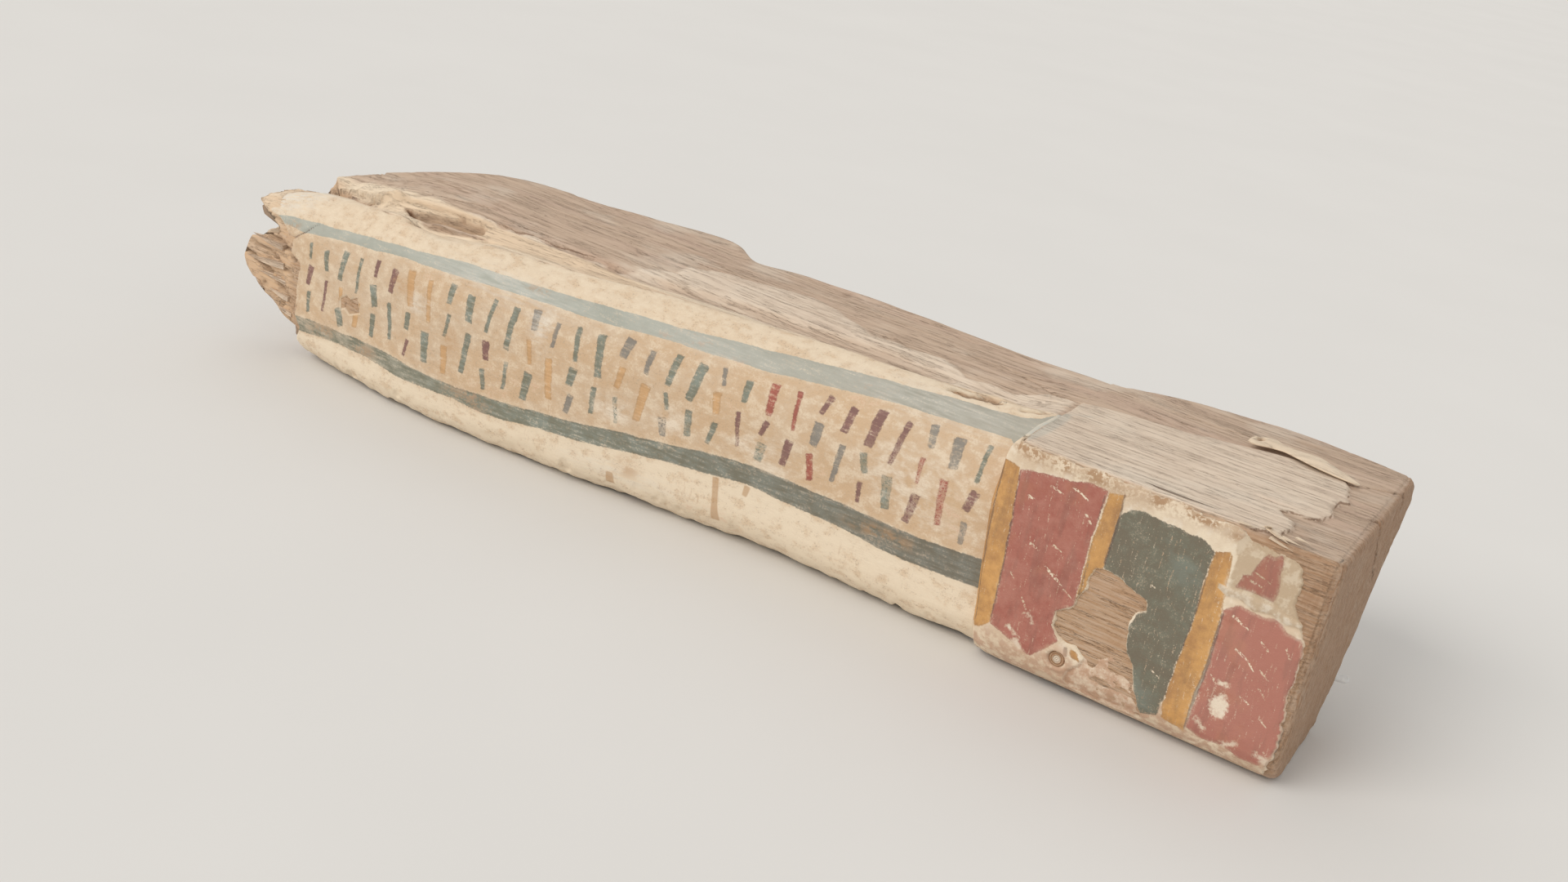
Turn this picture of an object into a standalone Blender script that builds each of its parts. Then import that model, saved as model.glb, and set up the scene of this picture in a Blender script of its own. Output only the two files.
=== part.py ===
# Fragment of a painted wooden coffin: one timber with a rounded body and a squared block at
# its +X end, a wooden dowel in the painted front of the block, and a small white support peg.
# Metres, +Z up, the painted front faces -Y. Every shape is first worked out from the block's
# front top left corner, and the pieces are then moved so that the origin is at the middle of
# the underside of their common box.

import math

import bmesh
import bpy
from mathutils import Vector, noise

# Driving sizes
blockLength = 0.180
bodyLength = 0.600
timberHeight = 0.138
blockDepth = 0.184
bodyDepth = 0.1535
blockFoot = 0.078
bodyFoot = 0.080
shoulderRadius = 0.054
blockSetback = 0.009
bellyOut = 0.010
blockEdge = 0.0055
rimStart = 0.0012
rimSlant = 0.006
underEdge = 0.030
blockUnderEdge = 0.025
tipDrop = 0.034
lipHeight = 0.0035
lipRun = 0.005
valleyDepth = 0.0045
valleyPlace = 0.016
valleyWidth = 0.010
wornRun = 0.045
edgeRun = 0.010
barkRoughness = 0.0022
barkGrain = 0.0167
fineGrain = 0.0062
wearGrain = 0.026
frontWave = 0.050
splinterLength = 0.020
plateWidth = 0.0105
plateHeight = 0.016
fibreWidth = 0.0038
fibreHeight = 0.0053
lowSplinter = 0.011
tipNotch = 0.030
lowBreak = 0.055
highBreak = 0.018
leastWidth = 0.030
cornerRoom = 0.004
bareStep = 0.0028
bareRun = 0.005
endRoom = 0.008
cutRoom = 0.020
breakCell = 0.0046

# The end-on shape of the back: depth under the top against reach, as shares
backProfile = ((0.0, 0.93), (0.05, 0.98), (0.14, 1.02), (0.24, 0.94), (0.29, 0.90), (0.53, 0.76),
               (0.63, 0.735), (0.70, 0.68), (0.78, 0.62), (0.83, 0.595), (0.915, 0.49), (1.0, 0.43))
# The back edge seen from above: share of the body's or the block's length against its depth
bodyBack = ((0.0, 0.98), (0.096, 0.96), (0.215, 1.0), (0.30, 1.01), (0.38, 0.975), (0.425, 0.905),
            (0.445, 0.90), (0.452, 1.04), (0.487, 1.09), (0.53, 1.07), (0.565, 1.01), (0.61, 0.985),
            (0.645, 0.93), (0.70, 0.915), (0.745, 0.875), (0.785, 0.82), (0.82, 0.70), (0.845, 0.60),
            (0.87, 0.51), (0.90, 0.43), (0.95, 0.34), (1.0, 0.24))
blockBack = ((0.0, 0.82), (0.14, 0.89), (0.24, 0.94), (0.35, 0.98), (0.45, 1.0), (0.58, 1.03),
             (0.78, 1.01), (0.90, 0.985), (1.0, 0.965))
# Along the body, share of its length: how far the front bellies out, and its lower rounding
bellyShape = ((0.0, 0.0), (0.24, 0.12), (0.38, 0.42), (0.49, 0.78), (0.60, 0.95), (0.71, 1.0),
              (0.82, 0.70), (0.92, 0.35), (1.0, 0.20))
underShape = ((0.0, 0.85), (0.06, 0.74), (0.12, 0.80), (0.25, 0.95), (0.50, 0.72), (0.72, 0.55), (1.0, 0.80))
# Where the plaster of the rounded shoulder ends, as a share of its quarter turn
ridgeTurn = ((0.0, 0.97), (0.10, 0.90), (0.25, 0.84), (0.42, 0.80), (0.55, 0.70), (0.70, 0.66),
             (0.80, 0.62), (1.0, 0.66))

# Counts of points on each stretch of the outline
frontPoints = 9
shoulderPoints = 14
topPoints = 14
backPoints = 15
footPoints = 4
underPoints = 6
bodyStations = 41
splitStations = 5
endStations = 8
blockStations = 10

# Recess and small hollow in the ridge and the split at the broken end, placed by their share of
# the body's length
recessPlace = 0.655
recessLength = 0.066
recessWidth = 0.017
recessDepth = 0.013
hollowPlace = 0.050
hollowLength = 0.028
hollowWidth = 0.0045
hollowDepth = 0.005
splitPlace = 0.80
barePlace = 0.915
splitWidth = 0.006
splitDepth = 0.030
splitBehind = 0.009
splitSpread = 0.004
splitWander = 0.001
splitStart = 0.012
pocketBehind = 0.003
pocketWander = 0.0012

# Lifted curl of wood on the block's top, its ends as shares of the block's length and depth
curlStart = (0.53, 0.69)
curlEnd = (0.85, 0.64)
curlWidth = 0.009
curlRise = 0.0042
curlRoot = 0.003

# Dowel in the block's front, and the support peg in its sloping back
dowelDiameter = 0.009
dowelLength = 0.060
dowelSink = 0.0012
dowelAlong = 0.0515
dowelUp = 0.0245
pegDiameter = 0.005
pegOut = 0.022
pegIn = 0.026
pegFromEnd = 0.0115
pegUp = 0.0262
pegDirection = (0.754, 0.630, -0.189)
fitGap = 0.0003


def clearScene():
    for thing in list(bpy.data.objects):
        bpy.data.objects.remove(thing, do_unlink=True)


def smoothStep(value):
    value = min(max(value, 0.0), 1.0)
    return value * value * (3 - 2 * value)


def follow(points, place):
    """The height of a soft line through hand-chosen points, flat beyond its ends."""
    if place <= points[0][0]:
        return points[0][1]
    for (x0, y0), (x1, y1) in zip(points, points[1:]):
        if place <= x1:
            return y0 + (y1 - y0) * (place - x0) / (x1 - x0)
    return points[-1][1]


def bodyShare(x):
    return min(max(-x / bodyLength, 0.0), 1.0)


def topZ(x):
    """The flat top falls away towards the broken tip."""
    fall = max(bodyShare(x) - 0.72, 0.0) / 0.28
    return -tipDrop * fall * fall


def frontY(x):
    if x > 0:
        return 0.0
    return blockSetback - (blockSetback + bellyOut) * follow(bellyShape, bodyShare(x))


def backReach(x):
    if x > 0:
        return blockDepth * follow(blockBack, x / blockLength)
    return bodyDepth * follow(bodyBack, bodyShare(x))


def rough(x, y, z, grain, amount):
    return amount * noise.noise(Vector((x * 0.35, y, z)) / grain)


def section(x, radius, under, foot):
    """One closed outline of the timber at x, counter-clockwise seen from +X, as (y, z)."""
    front = frontY(x)
    top = topZ(x)
    reach = backReach(x)
    width = max(reach - front, leastWidth)
    radius = min(radius, width * 0.6)
    under = min(under, width * 0.5)
    points = []
    for i in range(frontPoints):
        share = i / frontPoints
        points.append((front, -timberHeight + under + share * (timberHeight - under + top - radius)))
    for i in range(shoulderPoints):
        turn = math.pi / 2 * i / shoulderPoints
        points.append((front + radius * (1 - math.cos(turn)), top - radius * (1 - math.sin(turn))))
    crest = front + radius
    edge = max(reach * backProfile[0][1], crest + cornerRoom)
    for i in range(topPoints):
        points.append((crest + (edge - crest) * i / topPoints, top))
    footY = max(front + under + cornerRoom, min(foot * reach / bodyDepth, reach * 0.62))
    for i in range(backPoints):
        down = i / backPoints
        share = follow(backProfile, down)
        blendIn = smoothStep(down / 0.2)
        y = share * reach
        y = y + (footY - backProfile[-1][1] * reach) * down * down
        y = edge + (y - edge) * blendIn if down < 0.05 else y
        points.append((max(y, front + under * 0.5), top - down * (timberHeight + top)))
    for i in range(footPoints):
        points.append((footY + (front + under - footY) * i / footPoints, -timberHeight))
    for i in range(underPoints):
        turn = math.pi / 2 * i / underPoints
        points.append((front + under * (1 - math.sin(turn)), -timberHeight + under * (1 - math.cos(turn))))
    return points


def kindOf(index):
    """Which stretch of the outline a point belongs to."""
    for name, count in (("front", frontPoints), ("shoulder", shoulderPoints), ("top", topPoints),
                        ("back", backPoints), ("foot", footPoints), ("under", underPoints)):
        if index < count:
            return name
        index -= count
    return "front"


def ridgeY(x):
    turn = math.pi / 2 * follow(ridgeTurn, bodyShare(x))
    return frontY(x) + shoulderRadius * (1 - math.cos(turn))


def barkRough(x, y, z):
    return rough(x, y, z, barkGrain, barkRoughness) + rough(x * 3, y, z, fineGrain, barkRoughness * 0.8)


def bodyPoint(x, index):
    """A point of the rounded body, with the plaster's lip, the bare valley behind it and the wear."""
    under = underEdge * follow(underShape, bodyShare(x))
    outline = section(x, shoulderRadius, under, bodyFoot)
    y, z = outline[index]
    kind = kindOf(index)
    if kind in ("shoulder", "top"):
        behind = y - ridgeY(x)
        lip = lipHeight * smoothStep(behind / lipRun)
        valley = valleyDepth * math.exp(-((behind - valleyPlace) / valleyWidth) ** 2)
        faded = 1 - 0.75 * smoothStep((behind - valleyPlace) / wornRun)
        wear = rough(x, y, z, wearGrain, barkRoughness * 0.35) - barkRoughness * 0.25
        firstTop = frontPoints + shoulderPoints
        backEdge = outline[firstTop + topPoints][0]
        shown = smoothStep(bodyShare(x) / 0.05) * smoothStep((backEdge - y) / edgeRun)
        z += (wear - lip * faded - valley) * shown
        y += barkRough(x, *outline[firstTop + topPoints]) * max(index - firstTop, 0) / topPoints
    if kind == "back":
        y += barkRough(x, y, z)
    if kind in ("front", "shoulder", "under"):
        y += rough(x, 0, z, frontWave, barkRoughness * 0.35)
    return y, z


def brokenEnd(y, z):
    """How far the wood reaches along -X at each place of the broken end."""
    down = -z / timberHeight
    slant = 0.30 * max(y - 0.25 * bodyDepth, 0.0)
    front = 1 - smoothStep((y / bodyDepth - 0.13) / 0.20)
    notch = tipNotch * math.exp(-((down - 0.37) / 0.045) ** 2) * front
    low = lowBreak * smoothStep((down - 0.60) / 0.36)
    high = highBreak * (1 - smoothStep(down / 0.16)) - lowSplinter * math.exp(-((down - 0.56) / 0.10) ** 2)
    plates = splinterLength * 0.55 * noise.noise(Vector((3.7, y / plateWidth, z / plateHeight)))
    fibres = splinterLength * 0.30 * noise.noise(Vector((8.1, y / fibreWidth, z / fibreHeight)))
    return -bodyLength + slant + notch + low + high + abs(plates) + fibres


def plasterEdge(z):
    """Where the painted plaster stops short of the broken end, along X."""
    down = -z / timberHeight
    return -bodyLength * (0.925 + 0.045 * (1 - smoothStep(down / 0.30)) - 0.012 * math.sin(9 * down))


def bodyRings():
    """Plain rings from the block to a little beyond the tip; the break is cut afterwards."""
    count = len(section(0.0, shoulderRadius, underEdge, bodyFoot))
    split, bare, tip = bodyLength * splitPlace, bodyLength * barePlace, bodyLength + endRoom
    places = [split * i / bodyStations for i in range(bodyStations)]
    places += [split + (bare - split) * i / splitStations for i in range(splitStations)]
    places += [bare + (tip - bare) * i / endStations for i in range(endStations + 1)]
    rings = []
    for place in places:
        ring = []
        for k in range(count):
            y, z = bodyPoint(-place, k)
            if kindOf(k) in ("front", "shoulder", "under"):
                bare = smoothStep((plasterEdge(z) + place) / bareRun)
                y += bareStep * bare * smoothStep((z + timberHeight) / bareRun)
            ring.append((-place, y, z))
        rings.append(ring)
    return rings


def breakCutter():
    """Everything to the left of the broken end, its right side shaped by the splinters."""
    far = -bodyLength - endRoom - cutRoom
    frontSide, backSide = -bellyOut - cutRoom, bodyDepth * 0.75
    lowSide, highSide = -timberHeight - cutRoom, cutRoom
    across = round((backSide - frontSide) / breakCell)
    upward = round((highSide - lowSide) / breakCell)
    mesh = bmesh.new()
    near, back = [], []
    for i in range(across + 1):
        y = frontSide + (backSide - frontSide) * i / across
        heights = [lowSide + (highSide - lowSide) * j / upward for j in range(upward + 1)]
        near.append([mesh.verts.new((brokenEnd(y, z), y, z)) for z in heights])
        back.append([mesh.verts.new((far, y, z)) for z in heights])
    for i in range(across):
        for j in range(upward):
            mesh.faces.new((near[i][j], near[i + 1][j], near[i + 1][j + 1], near[i][j + 1]))
            mesh.faces.new((back[i][j], back[i][j + 1], back[i + 1][j + 1], back[i + 1][j]))
        for j in (0, upward):
            mesh.faces.new((near[i][j], back[i][j], back[i + 1][j], near[i + 1][j]))
    for j in range(upward):
        for i in (0, across):
            mesh.faces.new((near[i][j], near[i][j + 1], back[i][j + 1], back[i][j]))
    return cutter("break_cutter", mesh)


def blockPoint(x, index, inset):
    y, z = section(x, blockEdge, blockUnderEdge, blockFoot)[index]
    kind = kindOf(index)
    if kind == "back":
        y += rough(x, y, z, barkGrain, barkRoughness * 0.6)
    middleY, middleZ = blockDepth * 0.42, -timberHeight * 0.48
    span = math.hypot(y - middleY, z - middleZ)
    return y + (middleY - y) * inset / span, z + (middleZ - z) * inset / span


def blockRings():
    """The squared block: a rounded left rim, straight sides and a rounded right rim."""
    count = len(section(blockEdge, blockEdge, blockUnderEdge, blockFoot))
    rings = []
    rim = ((0.0, 1.0), (0.3, 0.28), (1.0, 0.0))
    for along, inset in rim:
        ring = []
        for k in range(count):
            y, z = blockPoint(blockEdge * (along + 0.02), k, 0)
            onFront = kindOf(k) in ("front", "shoulder", "under")
            start = rimStart + rimSlant * smoothStep(y / shoulderRadius) * smoothStep(1 + z / shoulderRadius)
            x = start + (rimStart + rimSlant + blockEdge - start) * along
            ring.append((x, y + (blockEdge * 0.6 * inset if onFront else 0.0), z))
        rings.append(ring)
    for i in range(1, blockStations):
        first = rimStart + rimSlant + blockEdge
        x = first + (blockLength - blockEdge - first) * i / blockStations
        rings.append([(x, *blockPoint(x, k, 0)) for k in range(count)])
    for turn in (0, 30, 60, 90):
        angle = math.radians(turn)
        x = blockLength - blockEdge * (1 - math.sin(angle))
        inset = blockEdge * (1 - math.cos(angle))
        rings.append([(x, *blockPoint(x, k, inset)) for k in range(count)])
    return rings


def loft(rings, name):
    """A closed mesh through the rings, flat at both ends."""
    mesh = bmesh.new()
    rows = [[mesh.verts.new(point) for point in ring] for ring in rings]
    count = len(rings[0])
    for low, high in zip(rows, rows[1:]):
        for k in range(count):
            n = (k + 1) % count
            mesh.faces.new((low[k], low[n], high[n], high[k]))
    mesh.faces.new(list(reversed(rows[0])))
    mesh.faces.new(rows[-1])
    bmesh.ops.recalc_face_normals(mesh, faces=mesh.faces)
    data = bpy.data.meshes.new(name)
    mesh.to_mesh(data)
    mesh.free()
    thing = bpy.data.objects.new(name, data)
    bpy.context.collection.objects.link(thing)
    return thing


def woodOutline(name):
    """Block and body in one skin, from the block's right end to beyond the broken tip."""
    return loft(list(reversed(blockRings())) + bodyRings(), name)


def cutter(name, mesh):
    bmesh.ops.recalc_face_normals(mesh, faces=mesh.faces)
    data = bpy.data.meshes.new(name)
    mesh.to_mesh(data)
    mesh.free()
    thing = bpy.data.objects.new(name, data)
    bpy.context.collection.objects.link(thing)
    thing.hide_render = True
    thing.display_type = "WIRE"
    return thing


def strip(name, route, widths, low, high):
    """A closed solid that follows a route in plan: (x, y) places with a half width at each."""
    mesh = bmesh.new()
    rows = []
    for i, (x, y) in enumerate(route):
        before = route[max(i - 1, 0)]
        after = route[min(i + 1, len(route) - 1)]
        run = Vector((after[0] - before[0], after[1] - before[1])).normalized()
        side = Vector((-run.y, run.x)) * widths[i]
        rows.append([mesh.verts.new((x + side.x * s, y + side.y * s, z))
                     for s, z in ((-1, low[i]), (1, low[i]), (1, high[i]), (-1, high[i]))])
    for a, b in zip(rows, rows[1:]):
        for k in range(4):
            mesh.faces.new((a[k], a[(k + 1) % 4], b[(k + 1) % 4], b[k]))
    mesh.faces.new(list(reversed(rows[0])))
    mesh.faces.new(rows[-1])
    return mesh


def ridgeCutter(name, start, length, width, depth, offset):
    """A ragged pocket just behind the plaster's lip, deepest at its far end."""
    steps = 9
    route, widths, low, high = [], [], [], []
    for i in range(steps):
        share = i / (steps - 1)
        x = -start - length * share
        shape = 0.35 + 0.65 * math.sin(math.pi * min(max(share, 0.06), 0.94)) ** 0.5
        route.append((x, ridgeY(x) + offset + pocketWander * math.sin(11 * share)))
        widths.append(width / 2 * shape)
        surface = topZ(x) - (shoulderRadius - math.sqrt(max(
            shoulderRadius ** 2 - (frontY(x) + shoulderRadius - ridgeY(x)) ** 2, 0.0)))
        low.append(surface - depth * (0.35 + 0.65 * share))
        high.append(surface + cutRoom)
    return cutter(name, strip(name, route, widths, low, high))


def splitCutter():
    """The gap between the rounded front and the wood behind it, open at the broken end."""
    steps = 7
    route, widths, low, high = [], [], [], []
    for i in range(steps):
        share = i / (steps - 1)
        x = -bodyLength * splitPlace - (bodyLength * (1 - splitPlace) + cutRoom) * share
        route.append((x, ridgeY(x) + splitBehind + splitSpread * share + splitWander * math.sin(13 * share)))
        widths.append(splitWidth / 2 * (0.25 + 0.9 * share))
        low.append(topZ(x) - splitStart - splitDepth * share)
        high.append(cutRoom)
    return cutter("split_cutter", strip("split_cutter", route, widths, low, high))


def curlPiece():
    """The lifted curl of wood: low at its root, risen at its free left end."""
    steps = 9
    mesh = bmesh.new()
    rows = []
    for i in range(steps):
        share = i / (steps - 1)
        x = blockLength * (curlStart[0] + (curlEnd[0] - curlStart[0]) * share)
        y = blockDepth * (curlStart[1] + (curlEnd[1] - curlStart[1]) * share)
        y -= curlWidth * 0.9 * math.sin(math.pi * share)
        rise = curlRise * (0.95 - 0.35 * share + 0.05 * math.sin(9 * share))
        half = curlWidth / 2 * (0.75 + 0.45 * math.sin(math.pi * min(share * 1.1, 1.0)))
        half = half if i < steps - 1 else curlWidth * 0.15
        outline = ((-1, -curlRoot), (1, -curlRoot), (1, rise * 0.55), (0.45, rise), (-0.45, rise * 0.95),
                   (-1, rise * 0.35))
        rows.append([mesh.verts.new((x + 0.25 * half * s, y + half * s, z)) for s, z in outline])
    for a, b in zip(rows, rows[1:]):
        for k in range(6):
            mesh.faces.new((a[k], a[(k + 1) % 6], b[(k + 1) % 6], b[k]))
    mesh.faces.new(list(reversed(rows[0])))
    mesh.faces.new(rows[-1])
    return cutter("curl_shape", mesh)


def rod(name, diameter, length, start, direction, domed):
    """A round rod from start along direction; a domed one has a rounded far end."""
    profile = [(0.0, 0.0), (diameter / 2, 0.0)]
    if domed:
        for turn in range(0, 91, 18):
            angle = math.radians(turn)
            profile.append((diameter / 2 * math.cos(angle), length - diameter / 2 * (1 - math.sin(angle))))
    else:
        profile += [(diameter / 2, length), (0.0, length)]
    mesh = bmesh.new()
    sides = 28
    rows = []
    for radius, height in profile[1:-1]:
        rows.append([mesh.verts.new((radius * math.cos(math.tau * k / sides),
                                     radius * math.sin(math.tau * k / sides), height))
                     for k in range(sides)])
    for a, b in zip(rows, rows[1:]):
        for k in range(sides):
            mesh.faces.new((a[k], a[(k + 1) % sides], b[(k + 1) % sides], b[k]))
    mesh.faces.new(list(reversed(rows[0])))
    mesh.faces.new(rows[-1])
    bmesh.ops.recalc_face_normals(mesh, faces=mesh.faces)
    turn = Vector(direction).normalized().to_track_quat("Z", "Y").to_matrix().to_4x4()
    mesh.transform(turn)
    bmesh.ops.translate(mesh, verts=mesh.verts, vec=Vector(start))
    return mesh


def placeMesh(name, mesh):
    data = bpy.data.meshes.new(name)
    mesh.to_mesh(data)
    mesh.free()
    thing = bpy.data.objects.new(name, data)
    bpy.context.collection.objects.link(thing)
    return thing


def dowelPiece():
    start = (dowelAlong, dowelLength, dowelUp - timberHeight)
    return placeMesh("dowel", rod("dowel", dowelDiameter, dowelLength - dowelSink, start, (0, -1, 0), False))


def dowelHole():
    start = (dowelAlong, dowelLength + fitGap, dowelUp - timberHeight)
    size = dowelDiameter + 2 * fitGap
    return cutter("dowel_hole", rod("dowel_hole", size, dowelLength + cutRoom, start, (0, -1, 0), False))


def pegExit():
    """The place on the block's sloping back where the peg comes out."""
    x = blockLength - pegFromEnd
    z = pegUp - timberHeight
    share = follow(backProfile, -z / timberHeight)
    return Vector((x, share * backReach(x), z))


def pegPiece():
    along = Vector(pegDirection).normalized()
    start = pegExit() - along * pegIn
    return placeMesh("support_peg", rod("support_peg", pegDiameter, pegIn + pegOut, start, along, True))


def pegHole():
    along = Vector(pegDirection).normalized()
    start = pegExit() - along * (pegIn + fitGap)
    size = pegDiameter + 2 * fitGap
    return cutter("peg_hole", rod("peg_hole", size, pegIn + pegOut, start, along, False))


def combine(thing, other, operation):
    step = thing.modifiers.new(other.name, "BOOLEAN")
    step.operation = operation
    step.solver = "EXACT"
    step.object = other


def finish(thing, name, colour, roughness):
    material = bpy.data.materials.new(name)
    material.use_nodes = True
    shader = material.node_tree.nodes["Principled BSDF"]
    shader.inputs["Base Color"].default_value = (*colour, 1.0)
    shader.inputs["Roughness"].default_value = roughness
    shader.inputs["Metallic"].default_value = 0.0
    thing.data.materials.append(material)
    thing.data.shade_smooth()
    thing.data.set_sharp_from_angle(angle=math.radians(35))


def standOnOrigin(things):
    """Moves the whole part so that the origin is at the middle of the underside of its box."""
    bpy.context.view_layer.update()
    graph = bpy.context.evaluated_depsgraph_get()
    corners = [thing.matrix_world @ Vector(corner) for thing in things
               for corner in thing.evaluated_get(graph).bound_box]
    low = [min(corner[axis] for corner in corners) for axis in range(3)]
    high = [max(corner[axis] for corner in corners) for axis in range(3)]
    move = Vector((-(low[0] + high[0]) / 2, -(low[1] + high[1]) / 2, -low[2]))
    for thing in bpy.data.objects:
        thing.location += move


clearScene()
timber = woodOutline("coffin_timber")
dowel = dowelPiece()
peg = pegPiece()
recess = ridgeCutter("recess_cutter", recessPlace * bodyLength, recessLength, recessWidth, recessDepth,
                     pocketBehind)
hollow = ridgeCutter("hollow_cutter", hollowPlace * bodyLength, hollowLength, hollowWidth, hollowDepth,
                     -pocketBehind / 3)
combine(timber, splitCutter(), "DIFFERENCE")
combine(timber, breakCutter(), "DIFFERENCE")
combine(timber, curlPiece(), "UNION")
combine(timber, recess, "DIFFERENCE")
combine(timber, hollow, "DIFFERENCE")
combine(timber, dowelHole(), "DIFFERENCE")
combine(timber, pegHole(), "DIFFERENCE")
finish(timber, "painted_plaster_wood", (0.62, 0.48, 0.33), 0.85)
finish(dowel, "dowel_wood", (0.45, 0.30, 0.18), 0.8)
finish(peg, "white_peg", (0.86, 0.86, 0.85), 0.45)
standOnOrigin([timber, dowel, peg])
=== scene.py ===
import math

import bpy
import numpy as np
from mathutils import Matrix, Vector
from mathutils.bvhtree import BVHTree


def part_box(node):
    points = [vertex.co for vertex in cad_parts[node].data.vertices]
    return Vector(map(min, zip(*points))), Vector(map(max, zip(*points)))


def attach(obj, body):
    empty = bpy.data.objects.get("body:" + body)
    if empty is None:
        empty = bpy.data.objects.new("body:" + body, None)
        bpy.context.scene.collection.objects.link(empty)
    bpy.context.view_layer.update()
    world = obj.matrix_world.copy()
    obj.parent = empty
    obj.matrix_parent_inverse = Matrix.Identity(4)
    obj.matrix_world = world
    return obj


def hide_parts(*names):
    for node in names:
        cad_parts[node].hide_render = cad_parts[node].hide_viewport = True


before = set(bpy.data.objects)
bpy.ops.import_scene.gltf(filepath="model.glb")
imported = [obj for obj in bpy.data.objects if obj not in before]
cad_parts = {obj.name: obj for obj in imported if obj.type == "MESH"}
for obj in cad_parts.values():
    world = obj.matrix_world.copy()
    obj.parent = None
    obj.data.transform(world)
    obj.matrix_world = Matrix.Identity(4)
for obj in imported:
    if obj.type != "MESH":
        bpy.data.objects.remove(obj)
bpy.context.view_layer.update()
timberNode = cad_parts["coffin_timber"]

# The solid's own sizes, in millimetres
timber = {
    "block": 180.0, "body": 600.0, "height": 138.0, "shoulder": 54.0,
    "setback": 9.0, "belly": 10.0, "tipDrop": 34.0, "under": 30.0, "blockUnder": 25.0,
    "bellyShape": ((0, 0), (0.24, 0.12), (0.38, 0.42), (0.49, 0.78), (0.60, 0.95), (0.71, 1.0),
                   (0.82, 0.70), (0.92, 0.35), (1.0, 0.20)),
    "underShape": ((0, 0.85), (0.06, 0.74), (0.12, 0.80), (0.25, 0.95), (0.50, 0.72), (0.72, 0.55),
                   (1, 0.80)),
    "ridgeTurn": ((0, 0.97), (0.10, 0.90), (0.25, 0.84), (0.42, 0.80), (0.55, 0.70), (0.70, 0.66),
                  (0.80, 0.62), (0.86, 0.70), (0.92, 0.80), (1.0, 0.82)),
}
low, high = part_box("coffin_timber")
cornerX = high.x - timber["block"] / 1000
blockFront = min(v.co.y for v in timberNode.data.vertices if v.co.x > cornerX + 0.03)
corner = np.array([cornerX, blockFront, timber["height"] / 1000])
print("corner of the block", corner.round(4))


# Small helpers

def along(points, values):
    xs, ys = zip(*points)
    return np.interp(values, xs, ys)


def soft(start, end, values):
    share = np.clip((values - start) / (end - start), 0, 1)
    return share * share * (3 - 2 * share)


def lattice(x, y, z, seed):
    mixed = (x * 73856093) ^ (y * 19349663) ^ (z * 83492791) ^ (seed * 97531)
    mixed = (mixed ^ (mixed >> 13)) * 1274126177
    return ((mixed ^ (mixed >> 16)) & 0xffff) / 65535.0


def grainNoise(points, size, seed):  # smooth noise from -1 to 1, size is its grain in mm on each axis
    scaled = points / np.array(size, float) + 31.7 * seed
    cell = np.floor(scaled).astype(np.int64)
    part = scaled - cell
    part = part * part * (3 - 2 * part)
    total = np.zeros(points.shape[:-1])
    for dx in (0, 1):
        for dy in (0, 1):
            for dz in (0, 1):
                weight = 1
                for axis, step in enumerate((dx, dy, dz)):
                    weight = weight * (part[..., axis] if step else 1 - part[..., axis])
                total += weight * lattice(cell[..., 0] + dx, cell[..., 1] + dy, cell[..., 2] + dz, seed)
    return total * 2 - 1


def clouds(points, size, seed):  # the noise with a finer, weaker one on it
    finer = grainNoise(points, np.array(size, float) / 2, seed + 1)
    return (grainNoise(points, size, seed) + 0.5 * finer) / 1.4


def blur(grid, steps, axis):
    reach = int(math.ceil(steps * 2.5))
    weights = np.exp(-0.5 * (np.arange(-reach, reach + 1) / steps) ** 2)
    weights /= weights.sum()
    pad = [(0, 0)] * grid.ndim
    pad[axis] = (reach, reach)
    padded = np.pad(grid, pad, mode="edge")
    count = grid.shape[axis]
    return sum(w * np.take(padded, np.arange(k, k + count), axis=axis) for k, w in enumerate(weights))


def strokeDistance(px, py, points, widths):  # positive inside a stroke whose width changes along it
    if len(points) == 1:
        return widths[0] / 2 - np.hypot(px - points[0][0], py - points[0][1])
    best = np.full(px.shape, -99.0)
    pairs = list(zip(points, points[1:], widths, widths[1:]))
    for number, ((x0, y0), (x1, y1), w0, w1) in enumerate(pairs):
        dx, dy = x1 - x0, y1 - y0
        length = math.hypot(dx, dy)
        passed = ((px - x0) * dx + (py - y0) * dy) / length
        share = np.clip(passed / length, 0, 1)
        gap = np.hypot(px - x0 - share * dx, py - y0 - share * dy)
        inside = (w0 + (w1 - w0) * share) / 2 - gap
        if number == 0:  # a brush leaves a blunt end
            inside = np.minimum(inside, passed + 0.15 * w0)
        if number == len(pairs) - 1:
            inside = np.minimum(inside, length - passed + 0.15 * w1)
        best = np.maximum(best, inside)
    return best


def areaDistance(px, py, points):  # positive inside a closed outline
    gap = np.full(px.shape, 99.0)
    inside = np.zeros(px.shape, bool)
    for (x0, y0), (x1, y1) in zip(points, points[1:] + points[:1]):
        dx, dy = x1 - x0, y1 - y0
        share = np.clip(((px - x0) * dx + (py - y0) * dy) / max(dx * dx + dy * dy, 1e-6), 0, 1)
        gap = np.minimum(gap, np.hypot(px - x0 - share * dx, py - y0 - share * dy))
        crosses = (y0 > py) != (y1 > py)
        inside ^= crosses & (px < x0 + dx * (py - y0) / (dy if dy else 1e-9))
    return np.where(inside, gap, -gap)


def normalsOf(grid, closed):
    alongX = np.gradient(grid, axis=0)
    if closed:
        across = (np.roll(grid, -1, axis=1) - np.roll(grid, 1, axis=1)) / 2
    else:
        across = np.gradient(grid, axis=1)
    normal = np.cross(alongX, across)
    return normal / np.maximum(np.linalg.norm(normal, axis=2, keepdims=True), 1e-9)


def selectOnly(*pieces):  # the first one becomes the active one
    bpy.ops.object.select_all(action="DESELECT")
    for piece in pieces:
        piece.select_set(True)
    bpy.context.view_layer.objects.active = pieces[0]


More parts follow.
